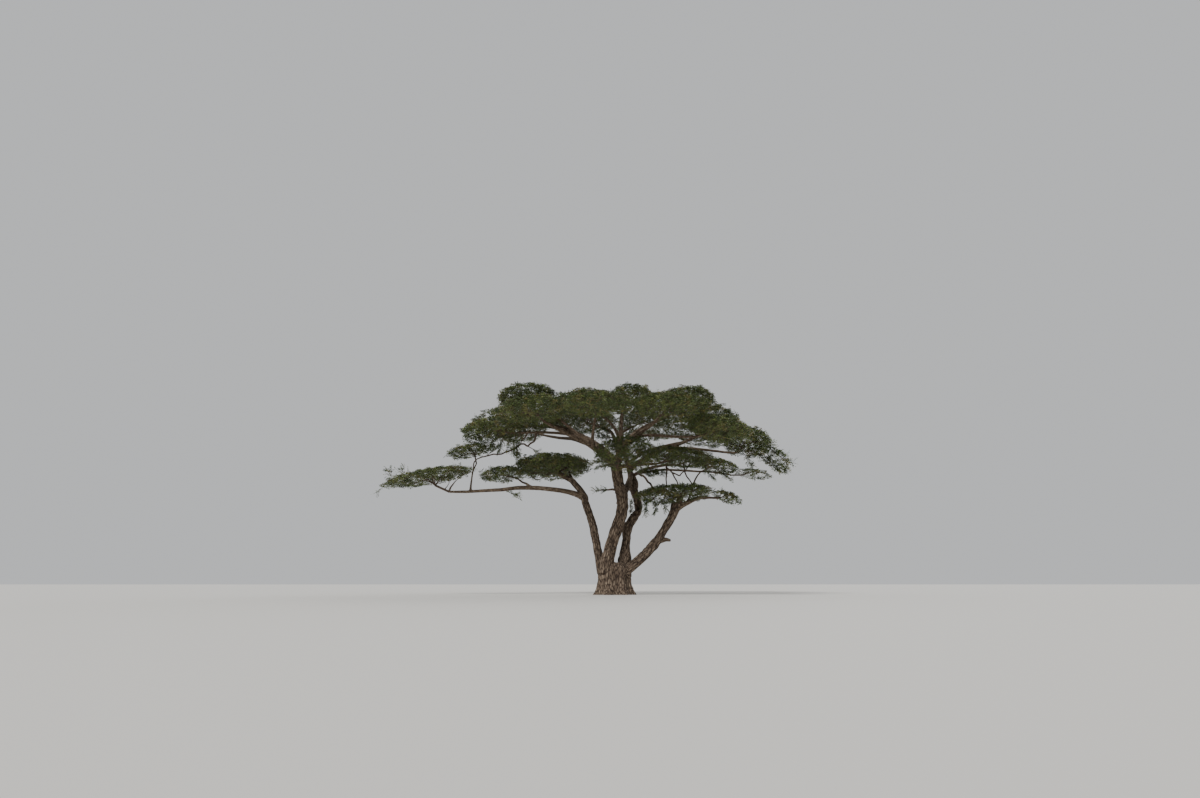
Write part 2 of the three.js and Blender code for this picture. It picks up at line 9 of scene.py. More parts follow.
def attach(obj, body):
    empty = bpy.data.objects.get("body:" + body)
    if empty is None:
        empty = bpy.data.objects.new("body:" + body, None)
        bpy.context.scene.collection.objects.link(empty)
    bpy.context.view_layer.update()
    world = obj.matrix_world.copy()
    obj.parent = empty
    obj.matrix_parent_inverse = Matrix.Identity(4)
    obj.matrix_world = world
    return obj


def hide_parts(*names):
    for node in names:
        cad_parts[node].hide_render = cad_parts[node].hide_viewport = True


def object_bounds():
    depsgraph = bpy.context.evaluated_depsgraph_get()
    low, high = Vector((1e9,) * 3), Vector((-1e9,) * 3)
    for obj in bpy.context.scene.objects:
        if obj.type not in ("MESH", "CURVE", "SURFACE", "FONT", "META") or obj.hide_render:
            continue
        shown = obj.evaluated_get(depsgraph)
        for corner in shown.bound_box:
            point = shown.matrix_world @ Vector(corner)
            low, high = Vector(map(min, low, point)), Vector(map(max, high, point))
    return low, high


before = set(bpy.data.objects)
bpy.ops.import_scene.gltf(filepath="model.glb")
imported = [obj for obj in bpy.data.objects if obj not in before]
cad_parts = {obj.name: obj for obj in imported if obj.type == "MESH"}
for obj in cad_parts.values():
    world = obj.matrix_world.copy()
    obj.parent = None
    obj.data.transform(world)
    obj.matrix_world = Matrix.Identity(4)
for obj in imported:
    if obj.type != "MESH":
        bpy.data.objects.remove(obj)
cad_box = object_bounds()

MM = 0.001
UP = np.array([0.0, 0.0, 1.0])
GOLDEN_TURN = math.pi * (3 - math.sqrt(5))
NOISE_SEED = 7

# noise_vector takes its offsets from the clock unless it is seeded
noise.seed_set(NOISE_SEED)

# Trunk: a fused bole that narrows from its root flare and widens again to where the stems part
TRUNK_HEIGHT = 1.52
TRUNK_LEAN = 0.04
TRUNK_WAIST = (0.79, 0.52)
SHOULDER_OUT = 0.09
FLARE_HEIGHT = 0.76
FLARE_OUT = 0.23
BUTTRESSES = 7
BUTTRESS_DEPTH = 0.075
BUTTRESS_TURN = 0.6
BUTTRESS_ABOVE = 0.35
CROWN_OF_TRUNK = 0.42
CROWN_START = 0.75

# Limbs: a stem's two bends are its curve's handles, and thick gives the radii at a limb's root and tip
TAPER_POWER = 1.5
STEMS = {
    "left_stem": dict(
        root=(-0.59, -0.06, 1), bends=((-0.74, 0.1, 2.35), (-1.47, 0.45, 5.55)), tip=(-2.4, 1, 5.85),
        thick=(0.215, 0.145),
    ),
    "middle_stem": dict(
        root=(-0.4, -0.17, 1), bends=((-0.22, -0.33, 3.3), (2.46, -0.9, 6.12)), tip=(-2.8, 0.15, 8.42),
        thick=(0.33, 0.105),
    ),
    "back_stem": dict(
        root=(0.39, 0.19, 1), bends=((0.76, 0.33, 5.75), (2.16, 1.3, 2.1)), tip=(0.4, 3.35, 8.85),
        thick=(0.265, 0.075),
    ),
    "right_stem": dict(
        root=(0.42, -0.12, 1), bends=((2, -0.14, 2.25), (2.4, -0.1, 2.85)), tip=(3.33, -0.2, 4.4),
        thick=(0.235, 0.165),
    ),
}


def bough(on, at, tip, thick, follow, rise):
    """A bough leaves `on` at a share of its length, follows it a while and comes in to its tip at a slope."""
    return dict(on=on, at=at, tip=tip, thick=thick, follow=follow, rise=rise)


HANDLE_AT_ROOT = 0.2
HANDLE_AT_TIP = 0.35
BOUGHS = {
    "broken_stub": bough("right_stem", 0.52, (2.83, -0.12, 2.56), (0.13, 0.062), 0.1, -10),
    "right_low_bough": bough("right_stem", 0.93, (4.95, -0.45, 4.62), (0.125, 0.06), 0.16, -5),
    "right_riser": bough("right_low_bough", 0.3, (4.55, 0.2, 6.05), (0.055, 0.04), 0.1, 40),
    "left_low_bough": bough("left_stem", 0.735, (-8.35, -0.15, 4.97), (0.13, 0.06), 0.14, -4),
    "left_riser": bough("left_low_bough", 0.845, (-7.15, 0.3, 6.5), (0.052, 0.038), 0.05, 60),
    "left_tier_bough": bough("left_low_bough", 0.4, (-5, 0.65, 5.76), (0.06, 0.042), 0.1, 25),
    "back_left_low_bough": bough("left_stem", 0.82, (-2.6, 3.3, 6.8), (0.09, 0.055), 0.2, 25),
    "upper_left_bough": bough("middle_stem", 0.93, (-5.4, 1.4, 8.85), (0.09, 0.055), 0.25, 12),
    "left_shoulder_bough": bough("middle_stem", 0.84, (-5.05, -0.55, 7.95), (0.085, 0.055), 0.2, -4),
    "top_left_bough": bough("middle_stem", 0.8, (-3.7, -0.6, 9.5), (0.095, 0.055), 0.25, 40),
    "back_left_bough": bough("middle_stem", 0.74, (-4.15, 2.7, 8.7), (0.11, 0.055), 0.2, 20),
    "leader": bough("middle_stem", 0.55, (0.5, 0.1, 9.4), (0.16, 0.075), 0.1, 84),
    "top_centre_bough": bough("leader", 0.5, (-0.9, 0.15, 9.4), (0.085, 0.06), 0.25, 45),
    "back_centre_bough": bough("leader", 0.35, (-1.1, 2.9, 9.35), (0.1, 0.06), 0.25, 25),
    "top_right_bough": bough("leader", 0.25, (3.5, -0.05, 9.35), (0.115, 0.065), 0.3, 35),
    "front_left_bough": bough("middle_stem", 0.58, (-3.4, -3.2, 7.9), (0.13, 0.065), 0.2, 20),
    "front_centre_bough": bough("front_left_bough", 0.3, (-0.9, -3.7, 8.05), (0.09, 0.06), 0.2, 25),
    "front_right_bough": bough("leader", 0.18, (2.1, -3.7, 7.95), (0.125, 0.065), 0.2, 22),
    "front_end_bough": bough("front_right_bough", 0.45, (4.3, -3, 7.25), (0.08, 0.055), 0.2, 12),
    "inner_front_bough": bough("middle_stem", 0.48, (0.1, -1.65, 5.85), (0.09, 0.055), 0.2, 35),
    "right_shoulder_bough": bough("back_stem", 0.72, (5, 0.25, 8.25), (0.125, 0.065), 0.12, 25),
    "right_end_bough": bough("right_shoulder_bough", 0.5, (6.35, -0.1, 7), (0.085, 0.055), 0.25, -5),
    "right_tier_bough": bough("middle_stem", 0.58, (2.25, -0.5, 6.35), (0.1, 0.058), 0.1, 5),
    "right_tip_bough": bough("back_stem", 0.68, (6.3, 0.85, 6), (0.075, 0.042), 0.08, -15),
    "back_tier_bough": bough("back_stem", 0.66, (3.9, 3.9, 7.15), (0.095, 0.055), 0.15, 8),
    "back_end_bough": bough("back_stem", 0.76, (4.5, 3.3, 8.45), (0.1, 0.06), 0.2, 15),
}


def mass(on, centre, reach, fall=None, full=1.0, trail=()):
    """Foliage that keeps to a flattened dome round its centre and grows from the tip of the limb `on`, with a
    few trailing twigs that end beyond the dome, at the points of `trail`."""
    return dict(
        on=on, centre=np.array(centre, float), reach=np.array(reach, float), fall=fall, full=full,
        trail=np.array(trail, float).reshape(-1, 3),
    )


FALL_WITH_DISTANCE = 0.012
OPEN = 0.45  # an open mass has this share of a full one's twigs
MASSES = {
    "far_left_foliage": mass(
        "left_low_bough", (-9.4, -0.25, 5.72), (2.55, 1.8, 0.36), 0.19,
        trail=((-11.75, -0.25, 5.17), (-10.7, -0.25, 5.96), (-11.4, -0.25, 6.02)),
    ),
    "left_riser_foliage": mass("left_riser", (-7.5, 0.4, 7.22), (1.42, 1.4, 0.32), 0.22),
    "left_tier_foliage": mass("left_tier_bough", (-5.75, 0.75, 6), (1.4, 1.5, 0.46)),
    "left_mid_foliage": mass("left_stem", (-3.25, 1.1, 6.47), (2.35, 2.2, 0.76), 0.03),
    "back_left_low_foliage": mass("back_left_low_bough", (-3.4, 4.4, 7.08), (2.1, 1.9, 0.56)),
    "left_shoulder_foliage": mass("left_shoulder_bough", (-6.14, -0.6, 8.09), (1.89, 2.2, 0.61), 0.15),
    "upper_left_foliage": mass("upper_left_bough", (-6.3, 2.1, 9.35), (1.85, 1.9, 0.56), 0.1, full=OPEN),
    "top_left_foliage": mass("top_left_bough", (-4.55, -0.7, 9.83), (1.68, 2.4, 0.54), 0.14),
    "back_left_foliage": mass("back_left_bough", (-5.4, 3.6, 9.12), (1.8, 2.1, 0.5), 0.12),
    "top_centre_foliage": mass("top_centre_bough", (-1.5, 0, 9.67), (2.1, 2.5, 0.6)),
    "inner_left_foliage": mass("middle_stem", (-3.95, -0.55, 8.65), (1.6, 1.5, 0.5)),
    "crown_top_foliage": mass("leader", (1, 0.05, 9.86), (1.5, 2.5, 0.74)),
    "back_centre_foliage": mass("back_centre_bough", (-1.7, 3.95, 9.74), (2.4, 2.3, 0.7), 0.0),
    "top_right_foliage": mass("top_right_bough", (3.95, -0.15, 9.77), (1.65, 2.5, 0.62)),
    "front_left_foliage": mass("front_left_bough", (-3.7, -4.1, 8.15), (2.05, 2.3, 0.65), 0.12),
    "front_centre_foliage": mass("front_centre_bough", (-0.8, -4.5, 8.28), (2.1, 2.4, 0.62), 0.15),
    "front_right_foliage": mass("front_right_bough", (2.6, -4.3, 8.2), (2.1, 2.4, 0.72), 0.12),
    "front_end_foliage": mass("front_end_bough", (4.8, -3.5, 7.42), (1.65, 2.2, 0.72), 0.2),
    "inner_front_foliage": mass("inner_front_bough", (0.62, -2, 6.5), (1.74, 1.5, 1.06)),
    "right_shoulder_foliage": mass("right_shoulder_bough", (5.57, 0.5, 8.75), (1.32, 2.4, 0.93), 0.2),
    "right_end_foliage": mass(
        "right_end_bough", (6.95, -0.1, 7.56), (1.4, 2.2, 0.82), 0.18,
        trail=((8.5, -0.1, 6.9), (8.85, -0.1, 6.62), (9.05, -0.1, 6.48), (8.6, -0.1, 6.42)),
    ),
    "right_tier_foliage": mass("right_tier_bough", (3.1, -0.9, 6.6), (2.05, 1.5, 0.62), 0.1),
    "right_thin_foliage": mass("right_riser", (5.4, 0.5, 6.43), (1.4, 1.5, 0.36), 0.2),
    "right_tip_foliage": mass("right_tip_bough", (7.45, 0.9, 6.07), (1.2, 1.2, 0.24), 0.15, full=OPEN),
    "back_tier_foliage": mass("back_tier_bough", (4.7, 4.9, 7.68), (1.9, 1.8, 0.52), full=OPEN),
    "back_right_foliage": mass("back_stem", (2.25, 4.05, 9.47), (2.6, 2.3, 0.55), 0.12),
    "back_end_foliage": mass("back_end_bough", (5.35, 3.8, 9.06), (2.1, 2.25, 0.66), 0.22),
    "right_low_foliage": mass("right_stem", (3.08, -0.45, 4.8), (2.32, 1.6, 0.54), -0.05),
    "right_low_tip_foliage": mass("right_low_bough", (5.65, -0.5, 4.64), (0.88, 0.95, 0.35), 0.32),
}

# Sprigs stand alone between the masses. Each has its radius at the root, the share of its length from where
# it bears leaves, and its bends from root to tip.
SPRIGS = [
    # one alone on the middle stem
    (0.07, 0.4, ((0.13, -0.45, 5.02), (-0.28, -0.5, 5.04), (-0.68, -0.5, 5.0), (-0.96, -0.5, 5.03))),
    # under the left low bough
    (0.02, 0.3, ((-5.6, 0.15, 5.2), (-5.32, 0, 4.93), (-4.79, -0.1, 4.75))),
    # the left low bough's end, where it parts once more
    (0.055, 0.7, ((-8.36, -0.15, 4.98), (-8.27, -0.15, 5.3), (-7.96, -0.15, 5.58), (-7.81, -0.1, 5.82))),
    (0.03, 0.6, ((-8.6, -0.17, 5.08), (-8.36, -0.15, 5.43), (-8.45, -0.15, 5.68))),
    # from the left shoulder down to the riser
    (0.05, 1.0, ((-4, -0.38, 7.98), (-4.03, -0.3, 7.64), (-4.4, -0.3, 7.3), (-4.8, -0.3, 7.47),
                 (-4.99, -0.3, 7.22), (-5.33, -0.3, 7.1), (-5.84, -0.25, 6.91), (-6.52, -0.2, 6.86),
                 (-6.99, -0.1, 6.73),
                 (-7.21, 0, 6.52), (-7.24, 0.15, 6.14))),
    (0.026, 0.5, ((-4.4, -0.3, 7.3), (-4.19, -0.3, 7.19), (-3.93, -0.3, 7.01))),
    (0.04, 1.0, ((-4.44, -0.44, 7.97), (-4.8, -0.3, 7.47))),
    (0.03, 0.1, ((-5.02, -0.3, 7.22), (-4.87, -0.2, 6.92), (-4.8, 0, 6.6))),
    (0.03, 0.1, ((-5.33, -0.3, 7.1), (-5.07, -0.2, 6.87), (-4.88, 0, 6.52))),
    (0.018, 0.1, ((-5.68, -0.5, 7.7), (-5.78, -0.4, 7.3), (-5.87, -0.4, 7.04))),
    (0.018, 0.1, ((-5.27, -0.5, 7.9), (-5.43, -0.4, 7.35), (-5.47, -0.4, 7.12))),
    (0.018, 0.1, ((-6.19, -0.5, 7.65), (-6.35, -0.4, 7.3), (-6.39, -0.4, 7.04))),
    (0.018, 0.3, ((-5.03, -0.54, 7.94), (-5.12, -0.45, 7.6), (-5.08, -0.4, 7.35), (-5.2, -0.35, 7.1))),
    (0.018, 0.3, ((-4.78, -0.5, 7.96), (-4.9, -0.45, 7.71), (-4.84, -0.4, 7.46), (-4.98, -0.35, 7.21))),
    (0.018, 0.2, ((-5.98, -0.55, 7.95), (-6.06, -0.45, 7.6), (-6.16, -0.4, 7.3))),
    (0.018, 0.2, ((-6.52, -0.2, 6.86), (-6.2, -0.2, 7.05), (-5.95, -0.2, 7.3))),
    # between the right tier and the low one under it
    (0.078, 1.0, ((1.06, 2.35, 6.1), (1.3, 1.7, 6.3), (1.68, 0.6, 5.85), (2.11, -0.2, 5.0))),
    (0.045, 1.0, ((2.71, -0.4, 6.26), (2.7, -0.4, 5.84), (2.73, -0.3, 5.15))),
    (0.045, 1.0, ((2.74, -0.4, 6.15), (2.98, -0.4, 5.92), (3.41, -0.3, 5.15))),
    (0.04, 1.0, ((2.98, -0.4, 5.92), (3.41, -0.4, 5.74), (3.49, -0.4, 5.96), (3.66, -0.3, 6.0))),
    (0.045, 1.0, ((3.6, -0.3, 6.38), (3.68, -0.3, 5.9), (4.15, -0.1, 5.2))),
    (0.035, 1.0, ((3.66, -0.3, 5.98), (3.96, -0.3, 6.43))),
    (0.024, 0.25, ((1.36, -0.42, 6.3), (1.56, -0.4, 6.02), (1.97, -0.35, 5.98), (2.49, -0.3, 6.04))),
    (0.024, 0.3, ((1.13, -0.42, 6.28), (1.25, -0.4, 5.9), (1.66, -0.35, 5.9), (2.18, -0.3, 5.93))),
    (0.024, 0.25, ((1.77, -0.44, 6.3), (1.87, -0.4, 6.05), (2.22, -0.35, 5.93), (2.63, -0.3, 5.86))),
    (0.024, 0.4, ((1.4, -0.42, 6.28), (1.51, -0.4, 5.84), (1.76, -0.35, 5.78), (2.07, -0.3, 5.81))),
    (0.02, 0.2, ((5.47, 0.3, 6.18), (5.77, 0.3, 5.94), (6.14, 0.3, 5.66))),
    (0.02, 0.35, ((4.56, 0.2, 6.04), (4.8, 0.3, 6.23), (4.99, 0.3, 6.02), (5.19, 0.3, 5.79))),
    # under the right low tier, and behind between the stems
    (0.02, 0.2, ((2.06, -0.6, 4.65), (1.81, -0.6, 4.4), (1.46, -0.6, 4.23))),
    (0.02, 0.2, ((2.71, -0.6, 4.65), (2.41, -0.6, 4.4), (2.1, -0.6, 4.26))),
    (0.02, 0.2, ((3.38, -0.5, 4.87), (3.12, -0.5, 4.62), (2.77, -0.5, 4.47))),
    (0.02, 0.2, ((1.75, -0.5, 4.7), (1.62, -0.5, 4.3), (1.6, -0.5, 3.88))),
    (0.02, 0.2, ((2.02, -0.5, 4.6), (2.11, -0.5, 4.3), (2.05, -0.5, 3.94))),
    (0.02, 0.2, ((2.44, -0.3, 4.55), (2.53, -0.3, 4.3), (2.62, -0.3, 4.09))),
    (0.02, 0.2, ((1.15, 1.65, 5.1), (0.98, 1.6, 4.64), (0.99, 1.5, 4.15))),
    # round the top of the middle stem
    (0.03, 0.1, ((0.02, 0.55, 8.0), (-0.3, 0.9, 8.05), (-0.84, 1, 8.43))),
    (0.025, 0.2, ((0.02, 0.55, 8), (-0.35, 0.7, 7.9), (-0.75, 0.75, 8.05))),
    (0.03, 0.1, ((-0.1, 0.85, 8.3), (-0.35, 1.2, 8.39), (-0.52, 1.2, 8.67))),
    (0.02, 0.1, ((-0.32, -0.3, 6.64), (-0.73, -0.4, 6.46), (-1.11, -0.4, 6.36))),
    (0.02, 0.1, ((-0.17, -0.3, 6.43), (-0.53, -0.4, 6.28), (-0.88, -0.4, 6.15))),
    # the right end's fan of drooping sprigs
    (0.014, 0.0, ((7.12, -0.1, 7.16), (7.61, -0.1, 6.89), (8.07, -0.1, 6.79))),
    (0.014, 0.0, ((7.23, -0.1, 7.31), (7.73, -0.1, 7.1), (8.24, -0.1, 6.94))),
    (0.014, 0.0, ((7.86, -0.1, 7.42), (8.31, -0.1, 7.53))),
    (0.014, 0.0, ((7.96, -0.1, 7.34), (8.32, -0.1, 7.28), (8.67, -0.1, 7.11))),
    (0.014, 0.0, ((7.7, -0.1, 7.2), (8.45, -0.1, 7.02), (8.81, -0.1, 6.89))),
    (0.018, 0.0, ((7.97, -0.1, 6.81), (8.51, -0.1, 6.47), (9.04, -0.1, 6.13))),
    (0.018, 0.0, ((7.86, -0.1, 6.79), (8.25, -0.1, 6.42), (8.86, -0.1, 6.06))),
    (0.018, 0.0, ((7.5, -0.1, 6.95), (8.04, -0.1, 6.44), (8.55, -0.1, 6.08))),
    (0.018, 0.2, ((6.8, 0, 7.0), (7.04, 0, 6.52), (7.24, 0, 6.39))),
]

# Main twigs, by the same rule as the solids
MAIN_TWIGS = 6
TWIG_SPREAD = 0.74
TWIG_HEIGHT = 0.85
TWIG_DROP = 0.2
TWIG_JITTER = 0.15
HUB_INWARD = 0.45
HUB_AHEAD = 0.1
ROUNDABOUT = 0.4

# Fine twigs, twiglets and leaves
FINE_TWIGS = 14500  # in all, dealt to the masses by their size
TWIG_RADIUS = 4 * MM  # at a fine twig's end
TWIGLETS = 3  # to each fine twig's end
TWIGLET_LENGTH = (0.2, 0.36)
TWIGLET_RADIUS = 2.2 * MM
TWIGLET_OUTWARD = 0.75  # a twiglet's heading adds this much of the way out,
TWIGLET_RISE = 0.25  # this much up,
RISE_WITH_HEIGHT = 0.45  # more at the dome's top and less at its foot,
TWIGLET_SCATTER = 0.5  # and this much at random
EDGE = (0.78, 0.98)  # a spray ends at this share of the way out at most,
EDGE_THINS = 2.2  # and the higher this is, the fewer of them at the further one;
PLUME = 0.2  # a few reach this much further
PLUME_THINS = 8
LOBES = (3, 4, 5)  # in a mass's outline seen from above, dealt out in turn,
LOBE_DEPTH = 0.14  # as a share of its reach
LEAVES = 9  # to each twiglet
TRAIL_TWIGS = 6  # fine twigs round each point of a trail
TRAIL_SPREAD = 0.09  # how far from it they end
SPRIG_STEP = 0.22  # a sprig's line has a kink this often
SPRIG_KINK = 0.02
SPRIG_TWIGLETS = 42  # to each metre that bears leaves
LEAF_LENGTH = 0.115  # each stands for two or three of the real feathered leaves of 30 to 50 mm
LEAF_WIDTH = 0.3  # share of its length
LEAF_FOLD = 0.3  # how far its two halves are folded up, as a share of its half width
LEAF_SIZES = (0.7, 1.2)
LEAF_SWING = (45, 80)  # degrees away from its twiglet
LEAF_LIFT = 0.35
LEAF_TILT = 0.55


def unit(rows):
    """Rows of vectors brought to length 1"""
    rows = np.asarray(rows, float)
    return rows / np.maximum(np.linalg.norm(rows, axis=-1, keepdims=True), 1e-9)


class Line:
    """A limb's middle line: a cubic curve measured along its own length."""

    def __init__(self, root, first, second, tip, thick):
        self.handles = np.array([root, first, second, tip], float)
        self.thick = thick
        self.steps = np.linspace(0, 1, 201)
        walked = np.linalg.norm(np.diff(self.at(self.steps), axis=0), axis=1)
        self.run = np.concatenate([[0], np.cumsum(walked)])
        self.length = self.run[-1]

    def at(self, t):
        t = np.asarray(t, float)[..., None]
        a, b, c, d = self.handles
        return a * (1 - t) ** 3 + 3 * b * t * (1 - t) ** 2 + 3 * c * t * t * (1 - t) + d * t**3

    def parameter(self, share):
        return np.interp(np.asarray(share, float) * self.length, self.run, self.steps)

    def point(self, share):
        return self.at(self.parameter(share))

    def heading(self, share):
        t = self.parameter(share)
        return unit(self.at(np.minimum(t + 1e-4, 1)) - self.at(np.maximum(t - 1e-4, 0)))

    def radius(self, share):
        root, tip = self.thick
        return root + (tip - root) * np.asarray(share, float) ** TAPER_POWER


def bough_line(parts, lines):
    parent = lines[parts["on"]]
    start, end = parent.point(parts["at"]), np.array(parts["tip"], float)
    span = np.linalg.norm(end - start)
    level = unit([end[0] - start[0], end[1] - start[1], 0])
    slope = math.radians(parts["rise"])
    coming = level * math.cos(slope) + UP * math.sin(slope)
    first = start + parent.heading(parts["at"]) * parts["follow"] * span + (end - start) * HANDLE_AT_ROOT
    return Line(start, first, end - coming * HANDLE_AT_TIP * span, end, parts["thick"])


def limb_lines():
    lines = {name: Line(p["root"], *p["bends"], p["tip"], p["thick"]) for name, p in STEMS.items()}
    for name, parts in BOUGHS.items():
        lines[name] = bough_line(parts, lines)
    return lines


lines = limb_lines()


# Masses' own space
def fall_at(parts, offset):
    """How much lower a mass's middle plane lies at offsets from its centre"""
    x, y = parts["centre"][:2]
    distance = math.hypot(x, y)
    fall = FALL_WITH_DISTANCE * distance if parts["fall"] is None else parts["fall"]
    return fall * (offset[..., 0] * x + offset[..., 1] * y) / distance


def how_far_out(parts, points, inside=0.0):
    """0 at a mass's centre, 1 at its edge or this far inside it"""
    offset = points - parts["centre"]
    offset = offset + UP * fall_at(parts, offset)[..., None]
    return np.linalg.norm(offset / (parts["reach"] - inside), axis=-1)


def in_own_space(name, points, edge=1.0, margin=0.0):
    own = how_far_out(MASSES[name], points)
    free = own <= edge
    for other, parts in MASSES.items():
        if other != name:
            free &= how_far_out(parts, points) > own + margin
    return free


def lobed(parts, points, seed):
    """How far out a mass reaches on each point's side, as a share of its dome: in lobes seen from above, though
    it keeps its full reach to the left and right"""
    offset = (points - parts["centre"])[:, :2] / parts["reach"][:2]
    turn = np.arctan2(offset[:, 1], offset[:, 0])
    near_rim = np.minimum(np.sum(offset**2, axis=1), 1)
    return 1 - LOBE_DEPTH * near_rim * np.sin(LOBES[seed % len(LOBES)] * turn) ** 2


def held_in(parts, points, edge, plume, free):
    """Points that lie too far out, and are not free, are brought in towards the mass's centre, to its edge"""
    out = how_far_out(parts, points, (0.6 * LEAF_LENGTH - plume)[:, None])
    share = np.where((out > edge) & ~free, edge / out, 1.0)
    return parts["centre"] + (points - parts["centre"]) * share[:, None]


WOOD_STEPS = np.linspace(0, 1, 31)
WOOD_POINTS = np.concatenate([line.point(WOOD_STEPS) for line in lines.values()])
WOOD_RADII = np.concatenate([line.radius(WOOD_STEPS) for line in lines.values()])
WOOD_SHARES = np.tile(WOOD_STEPS, len(lines))
WOOD_NAMES = np.repeat(list(lines), len(WOOD_STEPS))
LEAF_CLEARANCE = 0.025
FREE_TIP = 0.85


def touches_wood(points, extra, carrier=""):
    counted = ~((WOOD_NAMES == carrier) & (WOOD_SHARES > FREE_TIP))
    apart = np.linalg.norm(points[:, None] - WOOD_POINTS[counted], axis=2)
    return (apart < WOOD_RADII[counted] + extra + LEAF_CLEARANCE).any(axis=1)


# Twigs
def seeded_stream(seed):
    """The solids' own stream of numbers from 0 to 1: a linear congruential generator of 32 bits"""
    state = seed * 2654435761 % 2**32
    while True:
        state = (state * 1664525 + 1013904223) % 2**32
        yield state / 2**32


def main_twig_ends(parts, stream):
    """A mass's six main twig ends, by the same draws as the solids'"""
    turn = next(stream) * 2 * math.pi
    a, b, c = parts["reach"]
    ends = []
    for k in range(MAIN_TWIGS):
        out = math.sqrt((k + 0.5) / MAIN_TWIGS) * TWIG_SPREAD
        angle = turn + k * GOLDEN_TURN
        height = TWIG_HEIGHT * (1 - out * out) - TWIG_DROP + TWIG_JITTER * (2 * next(stream) - 1)
        offset = np.array([a * out * math.cos(angle), b * out * math.sin(angle), 0])
        ends.append(parts["centre"] + offset + UP * (c * height - fall_at(parts, offset)))
    return np.array(ends)


def fine_twig_ends(parts, count, random):
    """More ends, spread evenly over the dome and most of them in its upper part"""
    k = np.arange(count)
    out = np.sqrt((k + 0.5) / count) * 0.97
    angle = random.random() * 2 * math.pi + k * GOLDEN_TURN
    rim = np.sqrt(1 - out**2)
    height = rim * (-0.86 + 1.8 * random.random(count) ** 0.8)
    offset = np.stack([out * np.cos(angle), out * np.sin(angle), height], axis=1) * parts["reach"]
    offset[:, 2] -= fall_at(parts, offset)
    return parts["centre"] + offset + random.normal(0, 0.06, (count, 3)) * [1, 1, 0.5]


def grow_twigs(name, seed, count):
    """Joints and each one's parent: the stem's root and hub, the main ends, then the fine ends, each joined to
    the nearest twig that lies further in, a long way round from the stem counting against it."""
    parts, line = MASSES[name], lines[MASSES[name]["on"]]
    start, heading = line.point(1.0), line.heading(1.0)
    hub = start + (parts["centre"] - start) * HUB_INWARD + heading * HUB_AHEAD * parts["reach"][0]
    random = np.random.default_rng(seed)
    points, parents, run = [start, hub], [-1, 0], [0, np.linalg.norm(hub - start)]
    tiers = [(main_twig_ends(parts, seeded_stream(seed)), 0.035), (fine_twig_ends(parts, count, random), 0.0)]
    for ends, margin in tiers:
        ends = ends[in_own_space(name, ends, lobed(parts, ends, seed), margin)]
        ends = ends[~touches_wood(ends, 5 * TWIG_RADIUS, parts["on"])]
        ends = ends[np.argsort(np.linalg.norm(ends - hub, axis=1))]
        for end in ends:
            known = np.array(points[1:])
            step = np.linalg.norm(known - end, axis=1)
            cost = step + ROUNDABOUT * np.array(run[1:])
            cost[np.linalg.norm(known - hub, axis=1) >= np.linalg.norm(end - hub)] = np.inf
            parent = int(np.argmin(cost)) + 1
            points.append(end)
            parents.append(parent)
            run.append(run[parent] + step[parent - 1])
    for bend in parts["trail"]:
        parent = int(np.argmin(np.linalg.norm(np.array(points) - bend, axis=1)))
        root, first = points[parent], len(points)
        points.append(bend)
        parents.append(parent)
        for share in np.linspace(0.3, 1.1, TRAIL_TWIGS):
            spot = root + (bend - root) * min(share, 1.0)
            points.append(spot + random.normal(0, TRAIL_SPREAD, 3))
            parents.append(first if share > 0.6 else parent)
    return np.array(points), np.array(parents), hub


def twig_radii(parents, root_radius):
    """Radii that add up towards the stem, from the fine ends to the limb's own tip"""
    load = np.zeros(len(parents))
    for i in range(len(parents) - 1, 0, -1):
        load[i] = max(load[i], 1)
        load[parents[i]] += load[i]
    power = math.log(load[0]) / math.log(root_radius / TWIG_RADIUS)
    return TWIG_RADIUS * np.maximum(load, 1) ** (1 / power)


# Meshes from arrays
def mesh_piece(name, corners, faces, material):
    """A piece from one array of corners and one of faces that all have the same number of sides"""
    mesh = bpy.data.meshes.new(name)
    mesh.vertices.add(len(corners))
    mesh.vertices.foreach_set("co", corners.astype(np.float32).ravel())
    sides = faces.shape[1]
    mesh.loops.add(faces.size)
    mesh.loops.foreach_set("vertex_index", faces.astype(np.int32).ravel())
    mesh.polygons.add(len(faces))
    mesh.polygons.foreach_set("loop_start", np.arange(0, faces.size, sides, dtype=np.int32))
    mesh.update(calc_edges=True)
    mesh.materials.append(material)
    piece = bpy.data.objects.new(name, mesh)
    bpy.context.scene.collection.objects.link(piece)
    return piece


def across(directions, random):
    """For each direction, two more at right angles to it and to each other, turned at random about it"""
    helper = np.where(np.abs(directions[:, 2:3]) > 0.9, [[1.0, 0.0, 0.0]], UP[None])
    side = unit(np.cross(directions, helper))
    other = np.cross(directions, side)
    turn = random.random((len(directions), 1)) * 2 * math.pi
    return side * np.cos(turn) + other * np.sin(turn), other * np.cos(turn) - side * np.sin(turn)


